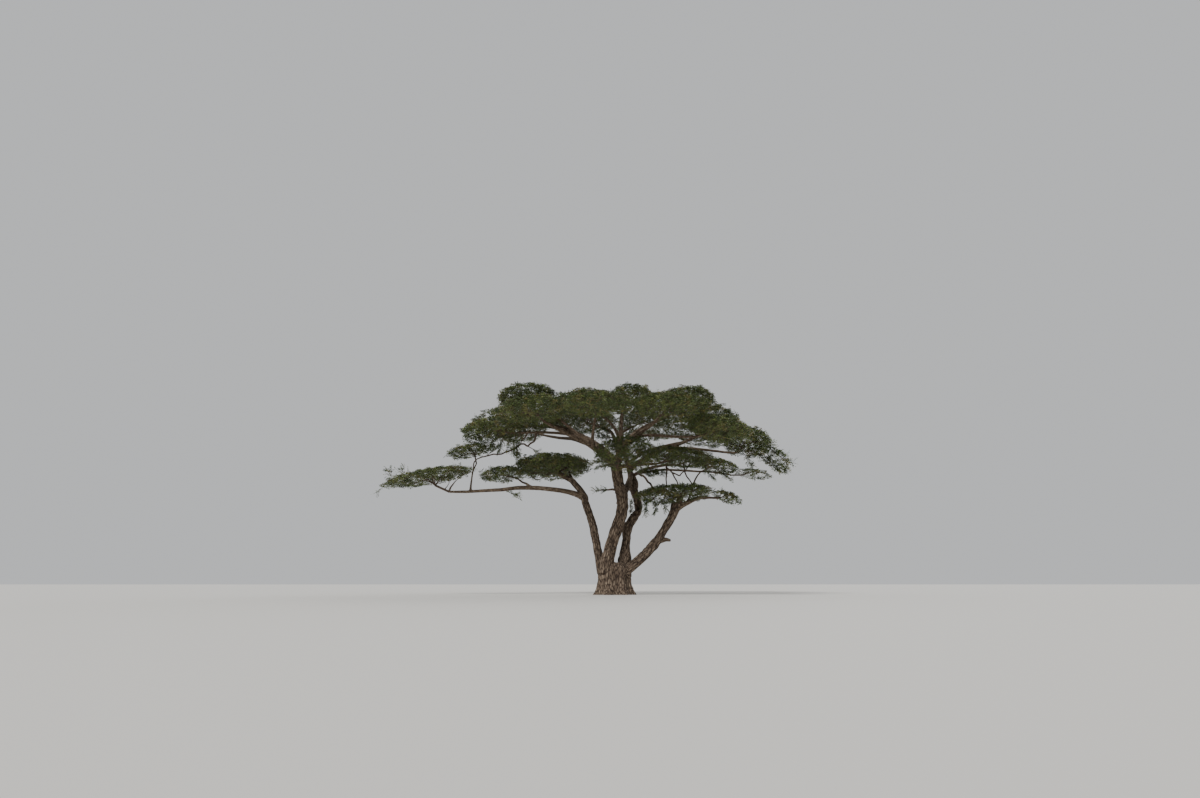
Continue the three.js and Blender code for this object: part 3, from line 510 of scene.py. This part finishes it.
def tapered_rods(starts, ends, root_radii, tip_radii, sides, random):
    """Many tapered rods as arrays of corners and of three-sided faces, closed at both ends"""
    side, other = across(unit(ends - starts), random)
    turns = np.arange(sides) * 2 * math.pi / sides
    ring = side[:, None] * np.cos(turns)[:, None] + other[:, None] * np.sin(turns)[:, None]
    roots = starts[:, None] + ring * root_radii[:, None, None]
    tips = ends[:, None] + ring * tip_radii[:, None, None]
    corners = np.concatenate([roots, tips], axis=1)
    k = np.arange(sides)
    after = (k + 1) % sides
    walls = [np.stack([k, after, sides + after], 1), np.stack([k, sides + after, sides + k], 1)]
    caps = [[0, j + 1, j] for j in range(1, sides - 1)]
    caps += [[sides, sides + j, sides + j + 1] for j in range(1, sides - 1)]
    pattern = np.concatenate([*walls, np.array(caps)])
    faces = pattern[None] + (np.arange(len(starts)) * 2 * sides)[:, None, None]
    return corners.reshape(-1, 3), faces.reshape(-1, 3)


def spikes(starts, ends, radii, random):
    """Many three-sided spikes, as twiglets are"""
    side, other = across(unit(ends - starts), random)
    turns = np.arange(3) * 2 * math.pi / 3
    ring = side[:, None] * np.cos(turns)[:, None] + other[:, None] * np.sin(turns)[:, None]
    corners = np.concatenate([starts[:, None] + ring * radii[:, None, None], ends[:, None]], axis=1)
    pattern = np.array([[0, 1, 3], [1, 2, 3], [2, 0, 3], [0, 2, 1]])
    faces = pattern[None] + (np.arange(len(starts)) * 4)[:, None, None]
    return corners.reshape(-1, 3), faces.reshape(-1, 3)


def leaf_blades(bases, directions, flats, lengths):
    """Folded blades of two faces: base, left edge, tip and right edge"""
    flats = unit(flats - directions * np.sum(flats * directions, axis=1, keepdims=True))
    sides = np.cross(directions, flats)
    lengths = lengths[:, None]
    half = 0.5 * LEAF_WIDTH * lengths
    widest = bases + directions * 0.45 * lengths + flats * LEAF_FOLD * half
    tips = bases + directions * lengths
    corners = np.stack([bases, widest + sides * half, tips, widest - sides * half], axis=1)
    pattern = np.array([[0, 2, 1], [0, 3, 2]])
    faces = pattern[None] + (np.arange(len(bases)) * 4)[:, None, None]
    return corners.reshape(-1, 3), faces.reshape(-1, 3)


# Materials
def linear(colour):
    """An sRGB hex colour as linear values with alpha"""
    channels = [int(colour[i : i + 2], 16) / 255 for i in (0, 2, 4)]
    return [c / 12.92 if c <= 0.04045 else ((c + 0.055) / 1.055) ** 2.4 for c in channels] + [1.0]


def node(material, kind, settings=None, links=None):
    """Adds a node, sets its properties and inputs, and links its inputs from other nodes' outputs"""
    tree = material.node_tree
    made = tree.nodes.new(kind)
    for key, value in (settings or {}).items():
        if isinstance(key, int) or key in made.inputs:
            made.inputs[key].default_value = value
        else:
            setattr(made, key, value)
    for key, output in (links or {}).items():
        tree.links.new(output, made.inputs[key])
    return made


def ramp(made, stops):
    """Sets a colour ramp's stops as (place, hex colour)"""
    elements = made.color_ramp.elements
    while len(elements) < len(stops):
        elements.new(0.5)
    for element, (place, colour) in zip(elements, stops):
        element.position = place
        element.color = linear(colour)
    return made.outputs["Color"]


def bare_material(name):
    material = bpy.data.materials.new(name)
    material.use_nodes = True
    material.node_tree.nodes.clear()
    return material


def finish_material(material, settings, links):
    shader = node(material, "ShaderNodeBsdfPrincipled", settings, links)
    node(material, "ShaderNodeOutputMaterial", links={"Surface": shader.outputs[0]})
    return material


def fissured_bark(name, plate_mm, colours, depth_mm):
    """Thorn tree bark: hard grey-brown plates longer than they are wide, parted by furrows. It has a fine mottle
    of its own, and painted shade darkens the furrows and the sunken parts of the skin. The grain attribute runs
    with each limb, so that the plates follow it round every bend."""
    material = bare_material(name)
    grain = node(material, "ShaderNodeAttribute", {"attribute_name": "grain"}).outputs["Vector"]
    # painted shade: the skin's plate height is low in its sunken furrows and darkens the colour there
    painted_furrow_shade = node(material, "ShaderNodeAttribute", {"attribute_name": "painted_furrow_shade"}).outputs["Fac"]
    stretched = node(material, "ShaderNodeMapping", {"Scale": (1, 1, 0.25)}, {"Vector": grain}).outputs[0]
    warp = node(
        material, "ShaderNodeTexNoise", {"Scale": 1000 / (2 * plate_mm), "Detail": 3.0}, {"Vector": stretched}
    )
    bent = node(
        material, "ShaderNodeVectorMath", {"operation": "MULTIPLY_ADD", 1: (0.03, 0.03, 0.03)},
        {0: warp.outputs["Color"], 2: stretched},
    ).outputs[0]
    plates = node(
        material, "ShaderNodeTexVoronoi", {"feature": "DISTANCE_TO_EDGE", "Scale": 1000 / plate_mm},
        {"Vector": bent},
    ).outputs["Distance"]
    furrows = node(
        material, "ShaderNodeMapRange", {"From Min": 0.0, "From Max": 0.22, "To Min": 0.0, "To Max": 1.0},
        {"Value": plates},
    ).outputs[0]
    fine = node(
        material, "ShaderNodeTexNoise", {"Scale": 1000 / 12, "Detail": 6.0, "Roughness": 0.65},
        {"Vector": stretched},
    ).outputs["Fac"]
    add_share = {"operation": "MULTIPLY_ADD", 1: 0.35}
    height = node(material, "ShaderNodeMath", add_share, {0: fine, 2: furrows}).outputs[0]
    # the colour's tone: a fine mottle, plus painted shade that darkens the furrows
    tone_and_painted_shade = node(material, "ShaderNodeMath", {"operation": "MULTIPLY", 1: 0.55}, {0: height}).outputs[0]
    tone_and_painted_shade = node(material, "ShaderNodeMath", add_share, {0: painted_furrow_shade, 2: tone_and_painted_shade}).outputs[0]
    colour = ramp(node(material, "ShaderNodeValToRGB", links={"Fac": tone_and_painted_shade}), colours)
    bump = node(
        material, "ShaderNodeBump", {"Strength": 0.8, "Distance": depth_mm * MM}, {"Height": height}
    ).outputs[0]
    return finish_material(
        material, {"Roughness": 0.93, "Specular IOR Level": 0.25}, {"Base Color": colour, "Normal": bump}
    )


def leaf_material(name, colour):
    """Thorn tree leaf: small matt leaflets with a thin waxy skin, so dull with a faint soft sheen"""
    return finish_material(
        bare_material(name),
        {"Base Color": linear(colour), "Roughness": 0.62, "Specular IOR Level": 0.28, "Sheen Weight": 0.12},
        {},
    )


# in both barks the darkest stops fall in the furrows, as painted shade
OLD_BARK = fissured_bark(
    "fissured acacia bark", 70, [(0.1, "1f1915"), (0.4, "4a3e34"), (0.7, "6b5c4e"), (0.95, "8a7b6a")], 14
)
BOUGH_BARK = fissured_bark(
    "young acacia bark", 38, [(0.1, "2a211b"), (0.4, "54463a"), (0.7, "6f6050"), (0.95, "8c7e6c")], 6
)
TWIG_BARK = finish_material(
    bare_material("acacia twig bark"), {"Base Color": linear("57473a"), "Roughness": 0.85}, {}
)
LEAF_COLOURS = {
    "deep": ("3c4a24", 0.22),
    "olive": ("4b5a2c", 0.26),
    "dull": ("55602f", 0.22),
    "light": ("66713a", 0.18),
    "dry": ("716c3c", 0.12),
}


# Trunk and limbs
def limb_frames(points):
    """A turn-free frame along a line: headings and two directions across"""
    headings = unit(np.gradient(points, axis=0))
    side = unit(np.cross(headings[0], [0.3, 1.0, 0.2]))
    sides = []
    for heading in headings:
        side = unit(side - heading * (side @ heading))
        sides.append(side)
    sides = np.array(sides)
    return headings, sides, np.cross(headings, sides)


STEP_ALONG = 0.06
KINK_SPACING = 0.95
SWAY = 0.45  # a bough's kinks, as a share of its radius,
LEAST_SWAY = 0.02  # and this much more
COLLAR = 0.55  # how much thicker a bough is at its root,
COLLAR_LENGTH = 2.2  # fading over this many of its radii
# The stems' own kinks and swellings, as (height, sideways, thicker)
KINKS = {
    "left_stem": (
        (1, 0, 0), (1.4, -0.03, 0), (2.6, -0.03, 0), (3.4, 0.015, 0), (4.5, -0.01, 0.01), (4.8, 0.07, 0.03),
        (5.05, 0.06, 0), (5.4, 0, 0),
    ),
    "middle_stem": (
        (1.6, 0, 0), (2.1, 0, -0.02), (2.5, -0.01, -0.03), (3, 0, -0.01), (3.7, 0.055, -0.01), (4.2, 0.06, 0),
        (4.6, 0, 0.01), (4.95, -0.06, 0.06), (5.3, -0.15, 0.02), (5.7, -0.1, 0.05), (6.1, -0.02, 0.02),
        (6.6, 0.1, -0.02), (7.1, 0.16, -0.04), (7.6, 0.19, -0.04), (8.1, 0.12, -0.02), (8.4, 0, 0),
    ),
    "back_stem": (
        (1, 0, 0.02), (1.3, 0.03, 0.05), (1.7, 0.09, 0.07), (2.1, 0.05, -0.01), (2.6, 0.03, -0.045),
        (3.2, -0.06, 0), (3.6, 0.01, -0.02), (3.9, 0.08, -0.025), (4.15, 0.14, -0.035), (4.5, 0.08, 0), (5, 0, 0),
        (5.3, -0.04, 0.03), (5.55, -0.05, 0.12), (5.8, 0, 0.13), (6.2, 0, 0.05), (6.6, 0, 0),
    ),
    "right_stem": (
        (1, 0, 0), (1.3, 0.06, 0), (1.9, 0.09, 0), (2.35, 0.09, 0.03), (2.8, 0.065, 0), (3.1, 0.02, 0),
        (3.5, 0.02, 0.025), (3.8, 0, 0.04), (4, -0.04, 0.06), (4.2, -0.1, 0.09), (4.4, -0.1, 0.08),
    ),
}
SAGS = {"left_low_bough": 0.06}  # in mid-length
LINE_SEEDS = {name: i for i, name in enumerate(lines)}


def gnarled(name):
    """A limb's line with the kinks of a thorn tree's, and its radii with swellings or a collar at the root"""
    line = lines[name]
    count = max(8, int(line.length / STEP_ALONG))
    share = np.linspace(0, 1, count)
    points, radii = line.point(share), line.radius(share)
    if name in STEMS:
        height, sideways, thicker = np.array(KINKS[name]).T
        radii = radii + np.interp(points[:, 2], height, thicker)
        points = points + np.outer(np.interp(points[:, 2], height, sideways), [1, 0, 0])
        return points, radii
    _, sides, others = limb_frames(points)
    random = np.random.default_rng(1000 + LINE_SEEDS[name])
    kinks = max(2, int(line.length / KINK_SPACING))
    places = np.linspace(0, 1, kinks + 2)
    sway = random.uniform(-1, 1, (kinks + 2, 2)) * np.sin(math.pi * places)[:, None] ** 0.5
    for axis, direction in enumerate((sides, others)):
        depth = SWAY * radii + LEAST_SWAY
        points = points + direction * (np.interp(share, places, sway[:, axis]) * depth)[:, None]
    points = points - np.outer(SAGS.get(name, 0) * np.sin(math.pi * share), UP)
    walked = share * line.length
    radii = radii * (1 + COLLAR * np.exp(-walked / (COLLAR_LENGTH * radii[0])))
    return points, radii


def tube(bm, points, radii, sides):
    """A ring drawn along a line, closed at both ends"""
    headings, across_one, across_two = limb_frames(points)
    frames = []
    for point, heading, one, two, radius in zip(points, headings, across_one, across_two, radii):
        rows = np.eye(4)
        rows[:3, 0], rows[:3, 1], rows[:3, 2], rows[:3, 3] = one * radius, two * radius, heading, point
        frames.append(Matrix(rows))
    ring = bmesh.ops.create_circle(bm, cap_ends=True, segments=sides, radius=1, matrix=frames[0])["verts"]
    edges = list({edge for vert in ring for edge in vert.link_edges})
    for before, after in zip(frames, frames[1:]):
        made = bmesh.ops.extrude_edge_only(bm, edges=edges)["geom"]
        ring = [item for item in made if isinstance(item, bmesh.types.BMVert)]
        edges = [item for item in made if isinstance(item, bmesh.types.BMEdge)]
        bmesh.ops.transform(bm, matrix=after @ before.inverted(), verts=ring)
    bmesh.ops.contextual_create(bm, geom=edges)


TRUNK_SIDES = 96
TRUNK_RINGS = 26
BELOW_GROUND = 0.12  # cut off again after the bark is made


def trunk_tube(bm):
    """The bole, ring by ring from just below the ground to its rounded top"""
    share = np.linspace(-BELOW_GROUND / TRUNK_HEIGHT, 1, TRUNK_RINGS)
    points = np.stack([TRUNK_LEAN * share, 0 * share, TRUNK_HEIGHT * share], axis=1)
    first = len(bm.verts)
    tube(bm, points, np.ones(TRUNK_RINGS), TRUNK_SIDES)
    bm.verts.ensure_lookup_table()
    for vert in bm.verts[first:]:
        part = vert.co.z / TRUNK_HEIGHT
        turn = math.atan2(vert.co.y, vert.co.x - TRUNK_LEAN * part)
        flare = max(0.0, 1 - max(vert.co.z, 0) / FLARE_HEIGHT) ** 2
        ridge = math.cos(BUTTRESSES * turn + BUTTRESS_TURN) * BUTTRESS_DEPTH * (BUTTRESS_ABOVE + flare)
        closing = 1 - CROWN_OF_TRUNK * max(0, (part - CROWN_START) / (1 - CROWN_START)) ** 2
        widen = flare * FLARE_OUT + SHOULDER_OUT * max(part, 0) ** 3 + ridge
        vert.co.x = math.cos(turn) * (TRUNK_WAIST[0] + widen) * closing + TRUNK_LEAN * part
        vert.co.y = math.sin(turn) * (TRUNK_WAIST[1] + widen) * closing


def fused(name, bm, voxel, smooth):
    """The tubes grown together into one skin"""
    mesh = bpy.data.meshes.new(name + "_tubes")
    bmesh.ops.recalc_face_normals(bm, faces=bm.faces)
    bm.to_mesh(mesh)
    bm.free()
    piece = bpy.data.objects.new(name + "_tubes", mesh)
    bpy.context.scene.collection.objects.link(piece)
    remesh = piece.modifiers.new("grown_together", "REMESH")
    remesh.mode = "VOXEL"
    remesh.voxel_size = voxel
    remesh.use_smooth_shade = True
    soften = piece.modifiers.new("softened", "SMOOTH")
    soften.factor = 0.5
    soften.iterations = smooth
    done = bpy.data.meshes.new_from_object(piece.evaluated_get(bpy.context.evaluated_depsgraph_get()))
    bpy.data.objects.remove(piece)
    bpy.data.meshes.remove(mesh)
    done.name = name
    made = bpy.data.objects.new(name, done)
    bpy.context.scene.collection.objects.link(made)
    return made


def grain_of(corners, names, with_trunk):
    """For each corner: its place across and along the nearest limb, and that limb's radius there"""
    starts, headings, sides, others, walked, radii = [], [], [], [], [], []
    for name in names:
        points, thick = LIMBS[name]
        heading, side, other = limb_frames(points)
        steps = np.linalg.norm(np.diff(points, axis=0), axis=1)
        starts.append(points)
        headings.append(heading)
        sides.append(side)
        others.append(other)
        walked.append(np.concatenate([[0], np.cumsum(steps)]) + 7.3 * LINE_SEEDS[name])
        radii.append(thick)
    if with_trunk:
        height = np.linspace(0, 1.1, 12)
        count = len(height)
        starts.append(np.stack([0 * height, 0 * height, height], axis=1))
        headings.append(np.tile(UP, (count, 1)))
        sides.append(np.tile([1.0, 0, 0], (count, 1)))
        others.append(np.tile([0, 1.0, 0], (count, 1)))
        walked.append(height)
        radii.append(np.full(count, 0.62))
    starts, headings, sides, others, walked, radii = map(
        np.concatenate, (starts, headings, sides, others, walked, radii)
    )
    nearest = np.empty(len(corners), int)
    for low in range(0, len(corners), 4000):
        apart = np.linalg.norm(corners[low : low + 4000, None] - starts[None], axis=2)
        nearest[low : low + 4000] = np.argmin(apart - radii, axis=1)
    offset = corners - starts[nearest]
    one, two, along = (np.sum(offset * rows[nearest], axis=1) for rows in (sides, others, headings))
    return np.stack([one, two, walked[nearest] + along], axis=1), radii[nearest]


def bark_relief(grain, radii, plate, depth):
    """Plates and furrows as a height from -1 to 1, used only as painted shade in the bark's colour, and how far
    each corner moves out
    """
    heights, moves = [], []
    for (x, y, along), radius in zip(grain, radii):
        slow = noise.noise((x * 2.2, y * 2.2, along * 0.55))
        spot = Vector((x, y, along * 0.22)) / plate
        spot += noise.noise_vector(spot * 0.7) * 0.35
        distances = noise.voronoi(spot)[0]
        plate_height = min(1.0, (distances[1] - distances[0]) / 0.45) * 2 - 1
        thick = min(1.0, radius / 0.2)
        heights.append(plate_height)
        moves.append(plate_height * depth * thick + slow * 0.1 * radius)
    return np.array(heights), np.array(moves)


def bark_skin(name, limb_names, with_trunk, voxel, smooth, plate, depth, material):
    """One skin of bark over the named limbs, moved out and in as plates and furrows"""
    bm = bmesh.new()
    if with_trunk:
        trunk_tube(bm)
    for limb in limb_names:
        points, radii = LIMBS[limb]
        tube(bm, points, radii, 20 if limb in STEMS else 14)
    piece = fused(name, bm, voxel, smooth)
    mesh = piece.data
    corners = np.empty(len(mesh.vertices) * 3, np.float32)
    mesh.vertices.foreach_get("co", corners)
    outward = np.empty(len(mesh.vertices) * 3, np.float32)
    mesh.vertices.foreach_get("normal", outward)
    corners, outward = corners.reshape(-1, 3).astype(float), outward.reshape(-1, 3)
    grain, radii = grain_of(corners, limb_names, with_trunk)
    heights, moves = bark_relief(grain, radii, plate, depth)
    corners += outward * moves[:, None]
    mesh.vertices.foreach_set("co", corners.astype(np.float32).ravel())
    along_limb = mesh.attributes.new("grain", "FLOAT_VECTOR", "POINT")
    along_limb.data.foreach_set("vector", grain.astype(np.float32).ravel())
    # painted shade: the plate height, which darkens the bark's colour in the furrows
    plate_height = mesh.attributes.new("painted_furrow_shade", "FLOAT", "POINT")
    plate_height.data.foreach_set("value", (heights * 0.5 + 0.5).astype(np.float32))
    if with_trunk:
        cut = bmesh.new()
        cut.from_mesh(mesh)
        geometry = [*cut.verts, *cut.edges, *cut.faces]
        made = bmesh.ops.bisect_plane(
            cut, geom=geometry, plane_co=(0, 0, 0), plane_no=(0, 0, -1), clear_outer=True
        )
        rim = [item for item in made["geom_cut"] if isinstance(item, bmesh.types.BMEdge)]
        bmesh.ops.contextual_create(cut, geom=rim)
        cut.to_mesh(mesh)
        cut.free()
    mesh.materials.clear()
    mesh.materials.append(material)
    mesh.shade_smooth()
    return piece


LIMBS = {name: gnarled(name) for name in lines}
# A fork that runs from the middle stem into the back one
LINE_SEEDS["inner_fork"] = len(lines)
fork = Line((0.28, -0.3, 4.3), (0.48, -0.3, 4.85), (0.8, 0.3, 5.32), (1.05, 2.3, 6.3), (0.17, 0.13))
LIMBS["inner_fork"] = (fork.point(WOOD_STEPS), fork.radius(WOOD_STEPS))

# Build: wood
stems_bark = bark_skin("trunk_and_stems_bark", list(STEMS), True, 0.0255, 3, 0.13, 0.016, OLD_BARK)
boughs_bark = bark_skin("boughs_bark", [*BOUGHS, "inner_fork"], False, 0.028, 2, 0.08, 0.006, BOUGH_BARK)
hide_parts("trunk", *STEMS)
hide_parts(*BOUGHS)


# Build: twigs and leaves
def grow_mass(name, seed, share):
    """A mass's twigs, twiglets and leaves, and which spray each leaf belongs to"""
    parts = MASSES[name]
    points, parents, hub = grow_twigs(name, seed, int(FINE_TWIGS * share))
    root_radius = 0.95 * lines[parts["on"]].thick[1]
    radii = twig_radii(parents, root_radius)
    random = np.random.default_rng(500 + seed)
    carried = np.arange(1, len(points))
    rods = dict(
        starts=points[parents[carried]], ends=points[carried],
        roots=np.minimum(radii[carried] * 1.15, radii[parents[carried]]), tips=radii[carried],
    )
    spots = np.repeat(points[2:], TWIGLETS, axis=0)
    outward = unit((spots - hub) * [1, 1, 0.35])
    level = np.clip((spots - parts["centre"])[:, 2:] / parts["reach"][2], -1, 1)
    rising = UP * (TWIGLET_RISE + RISE_WITH_HEIGHT * level)
    headings = unit(outward * TWIGLET_OUTWARD + rising + random.normal(0, TWIGLET_SCATTER, spots.shape))
    lengths = random.uniform(*TWIGLET_LENGTH, len(spots))
    chance = np.repeat(random.random((len(points) - 2, 2)), TWIGLETS, axis=0)
    edge = EDGE[0] + (EDGE[1] - EDGE[0]) * chance[:, 0] ** EDGE_THINS
    edge *= lobed(parts, spots, seed)
    plume = PLUME * chance[:, 1] ** PLUME_THINS
    trailing = how_far_out(parts, spots) > 1
    ends = held_in(parts, spots + headings * lengths[:, None], edge, plume, trailing)
    headings, lengths = unit(ends - spots), np.linalg.norm(ends - spots, axis=1)
    low, high = np.array(cad_box[0]), np.array(cad_box[1])
    spare = 0.02 * (high - low)
    kept = ((ends > low - spare) & (ends < high + spare)).all(axis=1)
    spots, ends, headings, lengths = spots[kept], ends[kept], headings[kept], lengths[kept]
    sprays = np.repeat(np.arange(len(points) - 2), TWIGLETS)[kept]
    return rods, dict(starts=spots, ends=ends, headings=headings, lengths=lengths, sprays=sprays)


def grow_sprig(thick, leafy, bends, seed):
    """A sprig's rods, kinked a little, and the twiglets on its leafy part"""
    random = np.random.default_rng(900 + seed)
    bends = np.array(bends)
    walked = np.concatenate([[0], np.cumsum(np.linalg.norm(np.diff(bends, axis=0), axis=1))])
    places = np.linspace(0, walked[-1], max(3, round(walked[-1] / SPRIG_STEP)) + 1)
    line = np.stack([np.interp(places, walked, bends[:, axis]) for axis in range(3)], axis=1)
    line[1:-1] += random.normal(0, SPRIG_KINK, (len(places) - 2, 3))
    radii = np.interp(places, (0, walked[-1]), (thick, max(TWIG_RADIUS, 0.6 * thick if leafy == 1 else 0)))
    rods = dict(starts=line[:-1], ends=line[1:], roots=radii[:-1], tips=radii[1:])
    count = round(SPRIG_TWIGLETS * walked[-1] * (1 - leafy))
    spots = np.sort(random.uniform(leafy, 1, count)) * walked[-1]
    starts = np.stack([np.interp(spots, places, line[:, axis]) for axis in range(3)], axis=1)
    along = unit(line[-1] - line[-2])
    headings = unit(along * 0.8 + random.normal(0, 0.45, (count, 3)))
    lengths = random.uniform(*TWIGLET_LENGTH, count) * 0.8
    ends = starts + headings * lengths[:, None]
    sprays = 500000 + 100 * seed + np.arange(count) // 4
    return rods, dict(starts=starts, ends=ends, headings=headings, lengths=lengths, sprays=sprays)


def leaves_on(twiglets, random):
    """Leaves in two rows along each twiglet, each pointing outwards and a little down, and one at its end"""
    count = len(twiglets["starts"])
    headings = np.repeat(twiglets["headings"], LEAVES, axis=0)
    place = np.tile(np.linspace(0.18, 1.0, LEAVES), count)
    lengths = np.repeat(twiglets["lengths"], LEAVES)
    bases = np.repeat(twiglets["starts"], LEAVES, axis=0) + headings * (place * lengths)[:, None]
    level_side = unit(np.cross(headings, UP) + 1e-6)
    row = np.where(np.tile(np.arange(LEAVES) % 2, count) == 0, 1.0, -1.0)[:, None]
    end_leaf = np.tile(np.arange(LEAVES) == LEAVES - 1, count)[:, None]
    swing = random.uniform(*np.radians(LEAF_SWING), (len(bases), 1)) * ~end_leaf
    lift = random.normal(0, LEAF_LIFT, (len(bases), 1))
    directions = unit(headings * np.cos(swing) + row * level_side * np.sin(swing) + UP * lift)
    flats = unit(UP + random.normal(0, LEAF_TILT, bases.shape))
    return bases, directions, flats, LEAF_LENGTH * random.uniform(*LEAF_SIZES, len(bases))


sizes = {n: m["full"] * m["reach"][0] * m["reach"][1] * m["reach"][2] ** 0.5 for n, m in MASSES.items()}
rods, twiglets = [], []
for index, name in enumerate(MASSES):
    mass_rods, mass_twiglets = grow_mass(name, index + 1, sizes[name] / sum(sizes.values()))
    rods.append(mass_rods)
    mass_twiglets["sprays"] = mass_twiglets["sprays"] + 10000 * index
    twiglets.append(mass_twiglets)
for index, (thick, leafy, bends) in enumerate(SPRIGS):
    sprig_rods, sprig_twiglets = grow_sprig(thick, leafy, bends, index)
    rods.append(sprig_rods)
    twiglets.append(sprig_twiglets)
rods = {key: np.concatenate([r[key] for r in rods]) for key in rods[0]}
twiglets = {key: np.concatenate([t[key] for t in twiglets]) for key in twiglets[0]}

THICK_TWIG = 0.011  # from this radius on, twigs are drawn rounder
random = np.random.default_rng(77)
thick = rods["tips"] > THICK_TWIG
parts = [
    tapered_rods(rods["starts"][pick], rods["ends"][pick], rods["roots"][pick], rods["tips"][pick], sides, random)
    for pick, sides in ((thick, 7), (~thick, 3))
]
corners = np.concatenate([parts[0][0], parts[1][0]])
faces = np.concatenate([parts[0][1], parts[1][1] + len(parts[0][0])])
twigs = mesh_piece("twigs", corners, faces, TWIG_BARK)

corners, faces = spikes(
    twiglets["starts"], twiglets["ends"], np.full(len(twiglets["starts"]), TWIGLET_RADIUS), random
)
fine_twigs = mesh_piece("twiglets", corners, faces, TWIG_BARK)

shares = np.array([share for _, share in LEAF_COLOURS.values()])
spray_names, spray_of = np.unique(twiglets["sprays"], return_inverse=True)
colour_of = random.choice(len(LEAF_COLOURS), len(spray_names), p=shares / shares.sum())[spray_of]
foliage = []
for k, (name, (colour, _)) in enumerate(LEAF_COLOURS.items()):
    own = {key: values[colour_of == k] for key, values in twiglets.items()}
    corners, faces = leaf_blades(*leaves_on(own, random))
    material = leaf_material("thorn tree leaf, " + name, colour)
    foliage.append(mesh_piece("leaves_" + name, corners, faces, material))

for piece in (twigs, fine_twigs, *foliage):
    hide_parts(*MASSES)
for piece in (stems_bark, boughs_bark, twigs, fine_twigs, *foliage):
    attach(piece, "root")


# Floor, light and camera
def pale_floor():
    bm = bmesh.new()
    bmesh.ops.create_grid(bm, x_segments=1, y_segments=1, size=600)
    mesh = bpy.data.meshes.new("floor")
    bm.to_mesh(mesh)
    bm.free()
    mesh.materials.append(
        finish_material(bare_material("pale studio floor"), {"Base Color": linear("cfccc6"), "Roughness": 0.9}, {})
    )
    floor = bpy.data.objects.new("floor", mesh)
    bpy.context.scene.collection.objects.link(floor)


def soft_sun(name, turn, height, strength, spread):
    lamp = bpy.data.lights.new(name, "SUN")
    lamp.energy = strength
    lamp.angle = math.radians(spread)
    made = bpy.data.objects.new(name, lamp)
    made.rotation_euler = (math.radians(90 - height), 0, math.radians(turn))
    bpy.context.scene.collection.objects.link(made)


def pale_sky():
    world = bpy.data.worlds.new("studio")
    world.use_nodes = True
    background = world.node_tree.nodes["Background"]
    background.inputs["Color"].default_value = linear("e6e8ea")
    background.inputs["Strength"].default_value = 0.75
    bpy.context.scene.world = world


# The photo's view: from low in front, tilted up so that the tree stands below the middle of the frame
CAMERA_PLACE = (-0.68, -30.2, 0.50)
CAMERA_TILT = 17.4
CAMERA_LENS = 17.7


def photo_camera():
    data = bpy.data.cameras.new("photo_view")
    data.lens = CAMERA_LENS
    data.sensor_width = 36
    data.clip_end = 2000
    camera = bpy.data.objects.new("photo_view", data)
    camera.location = CAMERA_PLACE
    camera.rotation_euler = (math.radians(90 + CAMERA_TILT), 0, 0)
    bpy.context.scene.collection.objects.link(camera)
    bpy.context.scene.camera = camera


pale_floor()
soft_sun("soft_key", -35, 42, 2.6, 18)
soft_sun("soft_fill", 150, 35, 0.7, 40)
pale_sky()
photo_camera()
